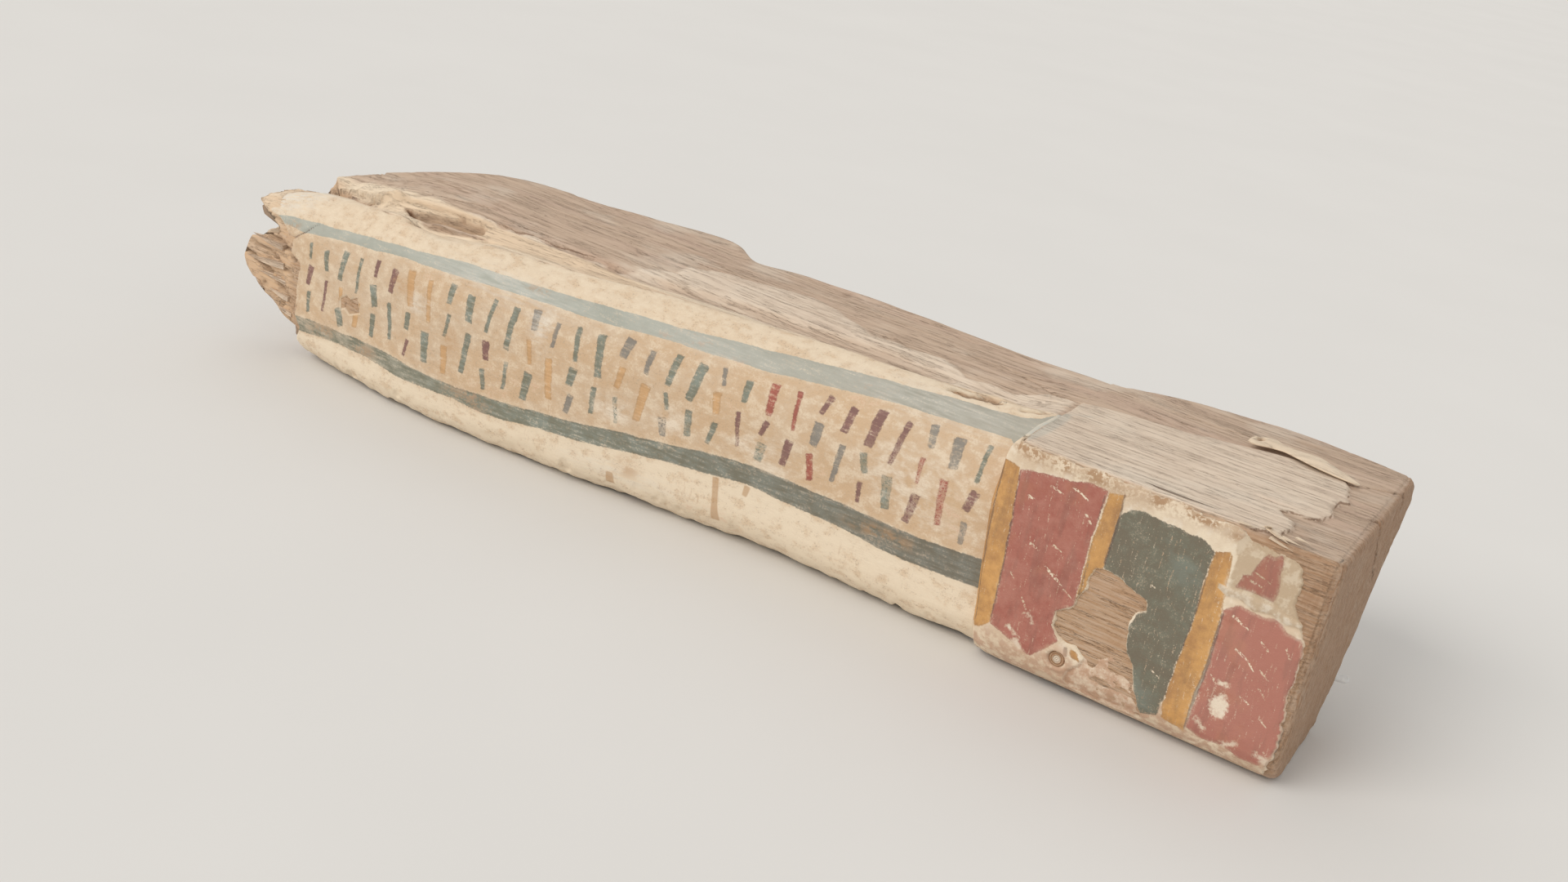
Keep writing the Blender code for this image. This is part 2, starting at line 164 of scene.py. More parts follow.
def newPiece(name, points, faces):
    data = bpy.data.meshes.new(name)
    data.from_pydata((corner + np.asarray(points) / 1000).tolist(), [], faces)
    data.update()
    piece = bpy.data.objects.new(name, data)
    bpy.context.collection.objects.link(piece)
    selectOnly(piece)
    bpy.ops.object.mode_set(mode="EDIT")
    bpy.ops.mesh.select_all(action="SELECT")
    bpy.ops.mesh.normals_make_consistent(inside=False)
    bpy.ops.object.mode_set(mode="OBJECT")
    bpy.ops.object.shade_smooth()
    return piece


def tubeFaces(rows, columns, first=0):
    i, j = np.meshgrid(np.arange(rows - 1), np.arange(columns), indexing="ij")
    n = (j + 1) % columns
    faces = np.stack([i * columns + j, i * columns + n, (i + 1) * columns + n, (i + 1) * columns + j], -1)
    return (faces.reshape(-1, 4) + first).tolist()


def setValues(piece, name, values):
    layer = piece.data.attributes.new(name, "FLOAT", "POINT")
    layer.data.foreach_set("value", np.ascontiguousarray(values, np.float32))


def finishPiece(piece, slot, material, *nodes):
    piece.data.materials.clear()
    piece.data.materials.append(material)
    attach(piece, "root")
    if nodes:
        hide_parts(*nodes)


# The rounded body as a band: x along it, s up its front in mm from the foot of the rounded shoulder

def frontAt(x):
    share = along(timber["bellyShape"], -x / timber["body"])
    return timber["setback"] - (timber["setback"] + timber["belly"]) * share


def topAt(x):
    return -timber["tipDrop"] * np.clip((-x / timber["body"] - 0.72) / 0.28, 0, 1) ** 2


def underAt(x):
    return timber["under"] * along(timber["underShape"], -x / timber["body"])


def ridgeAt(x):
    return timber["shoulder"] * math.pi / 2 * along(timber["ridgeTurn"], -x / timber["body"])


def lowestAt(x):
    under = underAt(x)
    return -(timber["height"] - timber["shoulder"] + topAt(x) - under) - under * math.pi / 2


def bandPlace(x, s):  # the plain quarter-round front: its point and its normal
    radius, front, top, under = timber["shoulder"], frontAt(x), topAt(x), underAt(x)
    turn = np.clip(s / radius, 0, math.pi / 2)
    straight = -(timber["height"] - radius + top - under)
    dip = np.clip((straight - s) / under, 0, math.pi / 2)
    beyond = np.maximum(s - radius * math.pi / 2, 0)
    y = front + radius * (1 - np.cos(turn)) + beyond + under * (1 - np.cos(dip))
    z = top - radius * (1 - np.sin(turn)) + np.clip(s, straight, 0) - under * np.sin(dip)
    normal = np.stack([np.zeros_like(y), -np.cos(turn) * np.cos(dip), np.sin(turn) - np.sin(dip)], -1)
    return np.stack([x, y, z], -1), normal


def bodyFrontAt(x, z):  # y of the plain front at a height
    rise = np.arcsin(np.clip((timber["shoulder"] + z - topAt(x)) / timber["shoulder"], 0, 1))
    drop = np.arcsin(np.clip((-z - timber["height"] + underAt(x)) / underAt(x), 0, 1))
    return frontAt(x) + timber["shoulder"] * (1 - np.cos(rise)) + underAt(x) * (1 - np.cos(drop))


def bandHeight(points):  # s of any point near the body's front and top
    radius = timber["shoulder"]
    y, z = points[..., 1] - frontAt(points[..., 0]), points[..., 2] - topAt(points[..., 0])
    turn = radius * np.arctan2(z + radius, np.maximum(radius - y, 1e-6))
    return np.where(z < -radius, z + radius, np.where(y < radius, turn, radius * math.pi / 2 + y - radius))


layerShift = 5.0  # added to layers that can be negative, because a piece without them reads 0


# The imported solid, merged, as the surface that everything is laid on
def surfaceOfSolid():
    selectOnly(timberNode)
    bpy.ops.object.duplicate()
    copy = bpy.context.view_layer.objects.active
    bpy.ops.object.mode_set(mode="EDIT")
    bpy.ops.mesh.select_all(action="SELECT")
    bpy.ops.mesh.remove_doubles(threshold=1e-6)
    bpy.ops.object.mode_set(mode="OBJECT")
    places = [tuple((np.array(v.co) - corner) * 1000) for v in copy.data.vertices]
    tree = BVHTree.FromPolygons(places, [tuple(face.vertices) for face in copy.data.polygons])
    bpy.data.objects.remove(copy, do_unlink=True)
    return tree


solid = surfaceOfSolid()
print("solid read")


# Bare wood of the whole timber
wood = {
    "stationStep": 3.3, "capRings": 46, "endRings": 26,
    # round a station, from the low front; the first angle in degrees
    "rays": 480, "frontRays": 200, "firstRay": 225.0,
    "bodyFrom": -530.0, "bodyTo": -0.6, "blockFrom": 11.5, "blockTo": 173.5,
    # how far the cap goes left, and where it starts to close
    "capReach": 72.0, "capTurn": 0.55, "capNarrow": 0.12,
    "endMiddle": (78.0, -60.0),
    "counts": (30, 44, 120, 60, 16),  # front, shoulder, top, back, base
    # stretches with their own spacing: start, end, step
    "bodySpans": ((-530, -500, 2.8), (-500, -400, 1.6), (-400, -76, 4.2), (-76, -20, 1.6), (-20, -0.6, 3.0)),
    "blockSpans": ((1.0, 6.0, 1.0), (6.0, 12.0, 3.0), (12.0, 120.0, 3.8), (120.0, 174.0, 1.6),
                   (174.0, 179.5, 1.2)),
    "plasterDepth": 1.5, "farLeft": -607.8,
    "axis": ((-600, 18), (-540, 26), (-500, 34), (-450, 52), (0, 60), (1, 70), (180, 75)),
    "axisZ": -62.0, "capCentre": (-520.0, 26.0, -64.0),
    # the edge of the thin upper layer on top of the body, and of the sheet on top of the block
    "layerEdge": [(-600, 42), (-383, 44), (-352, 44), (-321, 50), (-314, 43), (-300, 49), (-298, 57),
                  (-276, 70), (-273, 81), (-252, 94), (-226, 98), (-193, 107), (-169, 98), (-141, 86),
                  (-113, 84), (-90, 90), (-69, 78), (-40, 82), (-20, 90), (-4, 92), (-4, -40), (-600, -40)],
    "sheet": [(-4, 92), (60, 104), (98, 118), (148, 126), (157, 96), (160, 85), (155, 82), (155, 70),
              (158, 60), (155, 48), (147, 43), (140, 44), (134, 39), (140, 33), (145, 30), (147, 19),
              (143, 9), (138, 6), (129, 2), (115, -4), (-4, -10)],
    # worn hollows on the ridge: outline (x, s), depth, and how brown the inside is, bare wood with painted
    # shade
    "hollows": [([(-482, 71), (-478, 66), (-471, 60), (-466, 58.8), (-454, 59.6), (-447, 62.8), (-438, 65.1),
                  (-427, 64.7), (-416, 64.6), (-408, 67.9), (-410, 77.3), (-415, 79.4), (-429, 78.2),
                  (-432, 80.4), (-439, 75.9), (-456, 72.4), (-471, 71.2)], 5.2, 0.85),
                ([(-484, 70), (-478, 72), (-468, 69), (-470, 63), (-478, 65)], 3.0, 1.7),
                ([(-66, 66), (-62, 73), (-55, 74), (-39, 80), (-27, 74), (-33, 68), (-44, 67.5), (-51, 65),
                  (-59, 66)], 3.6, 0.8),
                ([(-24, 73), (-8, 82), (-2, 82), (-8, 74), (-20, 69)], 1.2, 0.4)],
    # the dip between the plaster and the pale layer of wood, painted tan as shade in the hollow
    "dip": ([(-340, 83), (-299, 81), (-256, 85), (-211, 86), (-156, 73), (-109, 70), (-76, 69), (-73, 96),
             (-91, 98), (-126, 99), (-172, 98), (-217, 96), (-262, 92.5), (-306, 89), (-335, 86)], 1.5, 0.5),
    # green paint that has run on to the top beside the body
    "tint": [(-3, 62), (14, 74), (16, 79), (4, 66), (6.5, 58), (7, 40), (6.5, 20), (4, 6), (-3, 6)],
    # torn lips and humps: centre (x, s), half length, half width, rise
    "humps": [(-495, 73, 17, 7, 3.2), (-487, 75, 8, 5, 2.2), (-338, 78, 14, 6, 1.2), (-40, 83, 18, 3, 1.4)],
    # the split that parts the back wood from the plastered front
    "split": ([(-606, 71), (-570, 72.5), (-556, 73), (-534, 66.5), (-520, 66.7), (-507, 71)],
              [5.0, 4.4, 3.6, 3.0, 2.2, 0.8], 7.0),
    # the back wood stands above the front beyond this line: x, s, step there and rise towards the back edge
    "backLine": ((-606, 72, 6.0, 1.5), (-511, 71, 6.0, 2.0), (-482, 73, 5.5, 2.0), (-439, 78, 4.2, 2.2),
                 (-415, 82, 3.0, 2.5), (-400, 85, 2.4, 2.5), (-330, 87, 1.4, 2.5), (-280, 90, 0.8, 2.2),
                 (-200, 92, 0.0, 1.8), (0, 95, 0.0, 1.2), (60, 95, 0.0, 0.3), (180, 95, 0.0, 0.0)),
    # dark gaps between splinters of the front, painted shade in them, one the shadow under the plaster's
    # edge: points (x, z), width, depth
    "gaps": [([(-606, -75), (-590, -80.8), (-577, -84.2), (-568, -91), (-556, -96.6), (-549, -104)],
              2.4, 4.5),
             ([(-592, -58), (-581, -57), (-569, -59), (-556, -62), (-549, -68)], 1.6, 3.0),
             ([(-600, -68), (-580, -69), (-566, -74), (-552, -80)], 1.2, 2.0),
             ([(-596, -90), (-580, -95), (-566, -103), (-556, -110)], 1.3, 2.2)],
    # how far left the broken end may reach, by height
    "reach": ((-140, -530), (-125, -537), (-117, -545), (-113, -560), (-105, -575), (-96.5, -589),
              (-87, -602.5), (-79, -604.8), (-67, -600.5), (-62, -597.5), (-60.5, -588), (-55, -582),
              (-44, -581.5), (-40, -587), (-34, -599), (0, -614)),
    # long cracks seen from above: points, width and depth
    "cracks": [([(150, 116), (156, 119), (163, 123), (173, 127), (181, 133)], 1.2, 2.4),
               ([(60, 52), (91, 53), (110, 51), (130, 46), (150, 47)], 0.9, 0.9),
               ([(174, 76), (181, 78)], 1.8, 3.0),
               ([(-140, 85), (-126, 93), (-110, 87)], 1.1, 1.3),
               ([(-110, 120), (-98, 129), (-86, 131)], 1.1, 1.2),
               ([(-131, 132), (-124, 135), (-112, 137)], 0.9, 1.0),
               ([(-300, 66), (-275, 69), (-262, 66)], 1.1, 1.2),
               ([(-286, 96), (-278, 94), (-259, 93), (-240, 95)], 1.0, 1.1),
               ([(-241, 57), (-222, 60), (-200, 61)], 0.9, 1.0),
               ([(-330, 88), (-316, 81)], 0.9, 1.0),
               ([(-60, 108), (-37, 104), (-16, 94), (10, 92)], 0.9, 1.1),
               ([(-430, 92), (-390, 90), (-345, 96)], 0.8, 0.8),
               ([(-414, 45.5), (-399, 44.5), (-378, 46), (-358, 46), (-345, 47), (-328, 50)], 0.8, 0.7),
               ([(-408, 49), (-380, 51), (-352, 52)], 0.8, 0.9),
               ([(-470, 48), (-440, 52), (-420, 58)], 0.9, 1.0),
               ([(-190, 120), (-150, 118), (-90, 112)], 0.8, 0.8),
               ([(20, 128), (62, 132), (96, 138)], 0.9, 1.1),
               ([(10, 24), (44, 22), (90, 21)], 0.7, 0.5)],
    # cracks across the sawn end face: points (y, z), width and depth
    "endCracks": [([(77, 2), (80, -6), (95, -24), (115, -44), (122, -52)], 1.6, 2.6),
                  ([(133, 2), (136, -10), (142, -20)], 1.2, 2.0),
                  ([(40, -30), (52, -62), (58, -90)], 0.8, 0.9)],
}


def woodRing(x):
    axisY, axisZ = float(along(wood["axis"], x)), wood["axisZ"]
    ring = []
    rays = wood["rays"]
    for angle in np.radians(wood["firstRay"] - np.arange(rays) * 360 / rays):
        hit = solid.ray_cast(Vector((x, axisY, axisZ)), Vector((0, math.cos(angle), math.sin(angle))))[0]
        ring.append((hit.y, min(hit.z, 0.0)))
    ring = np.array(ring)
    ring = np.vstack([ring, ring[:1]])
    y, z = ring[:, 0], ring[:, 1]
    front = np.arange(rays) < wood["frontRays"]
    nose = int(np.argmax(np.where(front, -0.7 * y[:rays] + 0.7 * z[:rays], -999)))
    crest = nose + int(np.argmax(y[nose:] > (float(frontAt(x)) if x < 0 else 9.0) + min(44.0, axisY)))
    edge = crest + int(np.argmax((0.45 * y + z)[crest:rays]))
    foot = edge + int(np.argmax((0.5 * y - z)[edge:rays]))
    length = np.concatenate([[0], np.cumsum(np.hypot(np.diff(y), np.diff(z)))])
    marks = [0, nose, crest, edge, foot, rays]
    places = np.concatenate([np.linspace(length[a], length[b], count, endpoint=False)
                             for a, b, count in zip(marks, marks[1:], wood["counts"])])
    y, z = np.interp(places, length, y), np.interp(places, length, z)
    return np.stack([np.full(len(places), x), y, z], -1)


def respaced(rings, spans):  # the same surface on closer or wider stations
    old = rings[:, 0, 0]
    runs = [np.arange(start, end - 0.3 * step, step) for start, end, step in spans]
    new = np.concatenate(runs + [[spans[-1][1]]])
    place = np.interp(new, old, np.arange(len(old)))
    first = np.minimum(place.astype(int), len(old) - 2)
    share = (place - first)[:, None, None]
    return rings[first] * (1 - share) + rings[first + 1] * share


def woodGrid():
    step = wood["stationStep"]
    bodyX = np.linspace(wood["bodyFrom"], wood["bodyTo"], int(-wood["bodyFrom"] / step))
    run = wood["blockTo"] - wood["blockFrom"]
    flatX = np.linspace(wood["blockFrom"], wood["blockTo"], int(run / step))
    blockX = np.concatenate([[1.0, 1.7, 2.8, 4.2, 6.0, 8.5], flatX, [175.2, 176.6, 177.8, 178.8, 179.5]])
    body = np.stack([woodRing(x) for x in bodyX])
    block = np.stack([woodRing(x) for x in blockX])
    body = blur(blur(body, 2.2, 0), 1.3, 1)
    block[6:-5] = blur(block[6:-5], 2.0, 0)
    body[:, :, 0], block[:, :, 0] = bodyX[:, None], blockX[:, None]
    grid = np.concatenate([respaced(body, wood["bodySpans"]), respaced(block, wood["blockSpans"])])
    centre = Vector(wood["capCentre"])
    rim = grid[0]
    rings = []
    for k in range(1, wood["capRings"] + 1):
        share = k / (wood["capRings"] + 1)
        out = min(share / wood["capTurn"], 1)
        closing = min((1 - share) / (1 - wood["capTurn"]), 1)
        scale = (1 - wood["capNarrow"] * out) * closing
        ring = []
        for point in rim:
            aim = Vector((wood["bodyFrom"] - wood["capReach"] * out,
                          centre.y + (point[1] - centre.y) * scale,
                          centre.z + (point[2] - centre.z) * scale))
            ring.append(tuple(solid.ray_cast(centre, (aim - centre).normalized())[0]))
        rings.append(ring)
    left = np.array(rings)[::-1]
    tip = np.array(solid.ray_cast(centre, Vector((-1, 0, 0)))[0])
    last = grid[-1]
    middle = np.array([timber["block"] - 0.1, *wood["endMiddle"]])
    shares = np.linspace(0, 1, wood["endRings"] + 2)[1:-1]
    right = np.stack([np.concatenate([np.full((len(last), 1), timber["block"] - 0.1),
                                      middle[1:] + (last[:, 1:] - middle[1:]) * (1 - share)], 1)
                      for share in shares])
    return np.concatenate([left, grid, right]), tip, middle


def drawnCracks(grid, first, second, cracks):  # the widest of all, positive inside, and its depth
    line, depth = np.full(first.shape, -9.0), np.zeros(first.shape)
    wander = 1.3 * grainNoise(grid, (9, 30, 30), 25) + 0.5 * grainNoise(grid, (3, 9, 9), 26)
    for points, width, deep in cracks:
        widths = [0.5 * width] + [width] * (len(points) - 2) + [0.4 * width]
        inside = strokeDistance(first, second + wander, points, widths)
        depth = np.maximum(depth, deep * soft(-0.8, 0.3, inside))
        line = np.maximum(line, inside)
    return line, depth


def woodRelief(grid):
    normal = normalsOf(grid, True)
    if normal[60:200, 90:150, 2].mean() < 0:  # on the top the normals have to point up
        normal = -normal
    x, y, z = grid[..., 0], grid[..., 1], grid[..., 2]
    s = bandHeight(grid)
    onTop = soft(0.35, 0.8, normal[..., 2])
    onBack = soft(0.15, 0.5, normal[..., 1]) * (1 - onTop)
    onBase = soft(0.7, 0.95, -normal[..., 2])
    leftEnd = soft(-531, -545, x) * soft(0.2, 0.6, -normal[..., 0])
    rightEnd = soft(0.6, 0.95, normal[..., 0]) * soft(100, 170, x)
    body = x < 0
    ridge = ridgeAt(x)
    covered = np.where(body, soft(1.5, -3.5, s - ridge) * soft(-600, -545, x) * (1 - onBack) * (1 - onBase),
                       soft(0.25, 0.8, -normal[..., 1]) * (1 - onBase))
    bare = (1 - covered) * (1 - rightEnd)
    fine = 1 - 2 * np.abs(grainNoise(grid, (46, 1.7, 9), 3))
    streak = clouds(grid, (90, 5.5, 16), 5)
    broad = clouds(grid, (160, 24, 30), 9)
    relief = bare * onTop * (0.10 * fine + 0.10 * streak + 0.40 * broad - 0.3)
    # the hacked back and the rough base
    hewn = clouds(grid, (52, 15, 15), 13) * 1.1 + clouds(grid, (80, 3.6, 3.6), 15) * 0.55
    relief += onBack * (hewn - 0.5) + onBase * 0.2 * streak
    backCrack = soft(0.80, 0.93, 1 - np.abs(grainNoise(grid, (130, 13, 11), 17)))
    relief -= 1.6 * backCrack * soft(-0.1, 0.5, grainNoise(grid, (60, 30, 30), 18)) * onBack
    # thin layers on top: the edge of each stands proud of what lies behind it
    ragged = clouds(grid, (14, 7, 7), 21) * 3.0 + clouds(grid, (4, 3, 3), 22) * 1.0
    sheet = areaDistance(x, y, wood["sheet"]) + 0.45 * ragged
    layer = np.where(body, areaDistance(x, y, wood["layerEdge"]) + ragged, sheet)
    above = soft(-0.5, 0.5, layer)
    relief -= onTop * bare * (1 - above) * np.where(body, 0.8, 1.3 * soft(20, 90, x) + 0.4)
    line, depth = drawnCracks(grid, x, y, wood["cracks"])
    endLine, endDepth = drawnCracks(grid, z, y, [([(b, a) for a, b in points], width, deep)
                                                 for points, width, deep in wood["endCracks"]])
    relief -= depth * onTop + endDepth * rightEnd
    line = np.maximum(np.where(onTop > 0.3, line, -9), np.where(rightEnd > 0.5, endLine, -9))
    # painted shadow: a thin dark line under the raised sheet's edge towards the end
    line = np.maximum(line, np.where((onTop > 0.5) & (x > 118), 0.45 - np.abs(layer) * 1.1, -9))
    small = soft(0.90, 0.985, 1 - np.abs(grainNoise(grid, (75, 6.5, 30), 27)))
    small = small * soft(0.05, 0.5, grainNoise(grid, (40, 16, 30), 28))
    relief -= 0.5 * small * onTop * bare
    relief -= rightEnd * (0.35 + 0.35 * clouds(grid, (30, 2.2, 14), 31))
    relief -= wood["plasterDepth"] * covered
    # under the front the wood draws back from the ragged end of the plaster
    shrunk = 1.4 + 0.8 * clouds(grid, (12, 12, 12), 19)
    relief -= shrunk * soft(-112, -128, z) * soft(50, 26, y) * np.where(body, 1, 0)
    # the shaded groove where the plaster stops, the hollows, the humps and the split
    points, deep, tint = wood["dip"]
    groove = soft(-2.5, 3.5, areaDistance(x, s, points) + 0.5 * ragged)
    relief -= deep * groove
    # the dip's tan is painted shade in the concave hollow
    brown = tint * groove * soft(-0.9, 0.2, clouds(grid, (26, 6, 6), 23))
    backX, backS, step, rise = zip(*wood["backLine"])
    behind = s - np.interp(x, backX, backS) + 0.3 * ragged
    lift = np.interp(x, backX, step) * soft(-0.8, 1.2, behind)
    lift += np.interp(x, backX, rise) * soft(0, 50, behind)
    relief += lift * np.maximum(onTop, 0.6 * onBack * soft(-60, -10, z)) * soft(-595, -560, x)
    for points, deep, tint in wood["hollows"]:
        inside = areaDistance(x, s, points) + 0.35 * ragged
        bottom = soft(-0.5, 1.3, inside)
        relief -= deep * bottom * (0.85 + 0.3 * streak)
        # brown inside the hollows: bare wood and painted shade
        brown = np.maximum(brown, tint * bottom)
    for middle, height, long, wide, rise in wood["humps"]:
        away = np.hypot((x - middle) / long, (s - height) / wide)
        relief += rise * soft(1.1, 0.1, away) * (0.75 + 0.4 * fine) * bare
    points, widths, deep = wood["split"]
    opening = strokeDistance(x, s + 1.5 * grainNoise(grid, (16, 9, 9), 24), points, widths)
    relief -= deep * soft(-0.8, 1.6, opening) * onTop
    # painted shadow in the split, cast by the lip of the back wood
    brown = np.maximum(brown, 1.5 * soft(-0.6, 1.2, opening) * onTop)
    # worn round edges of the sawn end
    back = 2.2 * soft(-6, 0.5, z) + 3.0 * soft(9, -1, y) * soft(0, -8, z)
    back += 0.8 * clouds(grid, (9, 7, 7), 29) * rightEnd
    splay = np.maximum(back, 0) * soft(173, 180, x)
    # splinters of the broken end run along the grain
    fibres = clouds(grid, (400, 4.2, 4.2), 33) * 3.4 + clouds(grid, (400, 9, 12), 35) * 2.6
    moved = grid + normal * relief[..., None]
    moved[..., 0] += leftEnd * fibres - splay
    torn = soft(-546, -560, x) * (1 - leftEnd)
    step = grid.copy()
    step[..., 2] += 0.55 * (x + 560)
    split = 1 - np.abs(grainNoise(step, (200, 13, 13), 37)) * 2.2
    grooves = clouds(step, (70, 4.0, 4.0), 39) * 0.6 - 1.6 * soft(0.72, 0.97, split)
    gapLine, gapDepth = drawnCracks(grid, x, z, wood["gaps"])
    onFront = soft(0.2, 0.6, -normal[..., 1]) * soft(-540, -548, x)
    moved += normal * (torn * (grooves - 0.3) * soft(60, 20, s) - gapDepth * onFront)[..., None]
    # seen along the photo's line of sight the broken end stops at its outline
    ahead = moved[..., 1] - 7
    sightX, sightZ = moved[..., 0] + 1.08 * ahead, moved[..., 2] + 0.50 * ahead
    moved[..., 0] += np.where(x < -530, np.maximum(along(wood["reach"], sightZ) - sightX, 0), 0)
    tinted = np.clip(areaDistance(x, y, wood["tint"]), -5, 5) + layerShift
    layers = {"pale": above * onTop, "line": np.clip(line, -5, 5) + layerShift, "crack": 0.6 * small * onTop,
              # the deeper the bare wood lies below its surface, the darker it is coloured
              "grit": np.clip(-relief + 0.2 - 1.2 * covered, 0, 3) * bare, "covered": covered,
              "torn": np.maximum(torn, leftEnd), "brown": np.clip(brown, 0, 2),
              # gap: painted shade in the gaps and in the split grooves of the torn end
              "gap": np.maximum(0.6 * torn * soft(0.78, 0.96, split), soft(-0.8, 0.4, gapLine) * onFront),
              "sawn": np.maximum(rightEnd, 0.8 * covered * soft(105, 160, x)),
              "near": np.maximum(soft(2, -2, s - 83) * soft(-3, 1, s - ridge) * np.where(body, 1, 0) * onTop,
                                 soft(-560, -572, x) * soft(20, 30, s) * soft(78, 72, s)),
              "tint": np.where(body, 0, tinted) * onTop}
    return moved, layers


def makeWood():
    grid, tip, middle = woodGrid()
    rows, columns = grid.shape[:2]
    grid, layers = woodRelief(grid)
    grid[..., 2] = np.clip(grid[..., 2], -timber["height"] + 0.02, 3.9)
    grid[..., 0] = np.clip(grid[..., 0], wood["farLeft"], timber["block"] - 0.02)
    points = np.concatenate([grid.reshape(-1, 3), [tip, middle]])
    count = rows * columns
    faces = tubeFaces(rows, columns)
    faces += [[(k + 1) % columns, k, count] for k in range(columns)]
    start = count - columns
    faces += [[start + k, start + (k + 1) % columns, count + 1] for k in range(columns)]
    piece = newPiece("timber_wood", points, faces)
    for name, values in layers.items():
        setValues(piece, name, np.concatenate([values.ravel(), values[0, :1], values[-1, :1]]))
    return piece


timberWood = makeWood()
print("wood", len(timberWood.data.polygons))


# Plaster and paint of the rounded body
plaster = {
    "columns": 500, "rows": 168, "innerRows": 10, "innerDepth": 6.5, "sunk": 3.3,
    # where the plaster stops at the broken end, from the low rim up: s and x
    "leftEdge": ((-90, -546), (-54, -545), (-45, -541), (-36, -546), (-17, -546), (-1, -544), (3, -545),
                 (10, -554), (19, -553), (28, -564), (34, -572), (38, -584), (42, -596), (48, -603),
                 (58, -602), (66, -592), (72, -578), (90, -565)),
    "topLine": ((-569, 30.3, 35.1), (-542, 23.5, 32.2), (-515, 22.6, 29.7), (-470, 21.7, 29.6),
                (-434, 24.4, 31.8), (-394, 25.9, 36.3), (-347, 28.7, 37.9), (-317, 29.8, 39.1),
                (-289, 29.6, 41.0), (-263, 31.4, 42.4), (-236, 32.8, 42.6), (-210, 33.4, 45.4),
                (-170, 34.6, 48.6), (-136, 38.0, 52.1), (-106, 41.5, 56.4), (-80, 44.4, 58.6),
                (-58, 45.5, 61.5), (-34, 47.1, 63.6), (-12, 48.0, 65.9), (0, 48.5, 70.0)),
    "lowLine": ((-547, -47.0, -35.8), (-518, -49.2, -39.8), (-489, -52.0, -43.0), (-467, -54.4, -43.9),
                (-437, -58.2, -46.0), (-411, -57.4, -47.6), (-384, -56.2, -47.9), (-364, -57.6, -45.9),
                (-347, -57.2, -45.2), (-313, -52.6, -41.3), (-281, -50.4, -38.2), (-251, -46.4, -34.4),
                (-222, -43.1, -31.3), (-192, -40.4, -26.9), (-163, -37.4, -24.5), (-137, -39.1, -24.6),
                (-117, -39.6, -25.6), (-94, -40.4, -25.5), (-74, -42.9, -26.5), (-49, -43.9, -27.0),
                (-29, -43.6, -25.9), (0, -41.5, -24.0)),
    # rows of plain painted bars in place of the text: x of the first and last row, step, margin and lean
    "barRows": {"first": -532.0, "last": -22.0, "step": 17.0, "margin": 5.0, "lean": 1.6},
    # where the bars of a row start and stop, as shares of its length, and their widths
    "bars": (((0.02, 0.30), (0.42, 0.66), (0.78, 0.98)), ((0.10, 0.52), (0.66, 0.92)),
             ((0.00, 0.20), (0.32, 0.50), (0.60, 0.96)), ((0.06, 0.36), (0.50, 0.94))),
    "barWidths": (4.2, 6.0, 3.4, 5.2, 7.0),
    # their colours, from the broken end to the block
    "barPigments": (("teal", "plum", "teal", "ochre", "teal"), ("teal", "ochre", "slate", "teal"),
                    ("slate", "plum", "teal", "plum", "red")),
    # lost or rubbed places: centre (x, s), half width, half height, strength
    "rubbed": [(-262, -22, 18, 9, 0.9), (-222, -16, 16, 10, 0.8), (-164, -12, 22, 9, 0.7),
               (-60, 4, 42, 24, 0.55), (-320, 16, 9, 12, 0.8), (-424, -4, 6, 7, 0.7),
               (-150, -22, 16, 5, 0.6), (-318, -2, 6, 10, 0.4), (-40, -14, 34, 9, 0.5),
               (-424, 2, 5, 6, 0.6)],
    "flakes": [([(-498, -18), (-492, -15), (-488, -17), (-481, -14), (-477, -25), (-488, -28), (-493, -24),
                 (-498, -26)], 1.3)],
    # green paint that spreads into the corner by the block
    "corner": [(-14, 47.5), (-6, 43), (2, 30), (3, 52), (1, 70), (-2, 79), (-7, 70), (-15, 66)],
    # brown worn stretches of the two lines: x, s, half width, half height
    "lineWear": [(-374, -52, 26, 8), (-470, -50, 16, 6), (-335, 36, 14, 3), (-556, 28, 10, 5),
                 (-515, -44, 20, 7)],
    # pale spots of painted sheen: centre (x, s), half width, half height, strength
    "paintedSheenSpots": [(-360, 30, 70, 14, 0.7), (-325, 14, 10, 14, 0.9), (-60, 52, 80, 18, 0.5),
              (-200, 38, 60, 9, 0.35), (-575, 54, 48, 22, 1.3), (-420, -2, 12, 10, 0.5),
              (-250, -62, 60, 8, 0.5)],
    "drips": [([(-258, -64), (-258, -72)], [5.0, 6.5]), ([(-184, -41), (-182, -56), (-181, -69)],
                                                         [4.6, 4.2, 6.4]),
              ([(-162, -39), (-163, -45)], [4.4, 3.6])],
    "stains": [(-392, -19, 9, 12), (-486, -20, 14, 12), (-246, -56, 12, 9), (-440, 6, 16, 8),
               (-70, -34, 30, 6)],
    "crack": [(-530, 31), (-537, 27), (-542, 24), (-552, 20), (-558, 21), (-564, 26)],
}


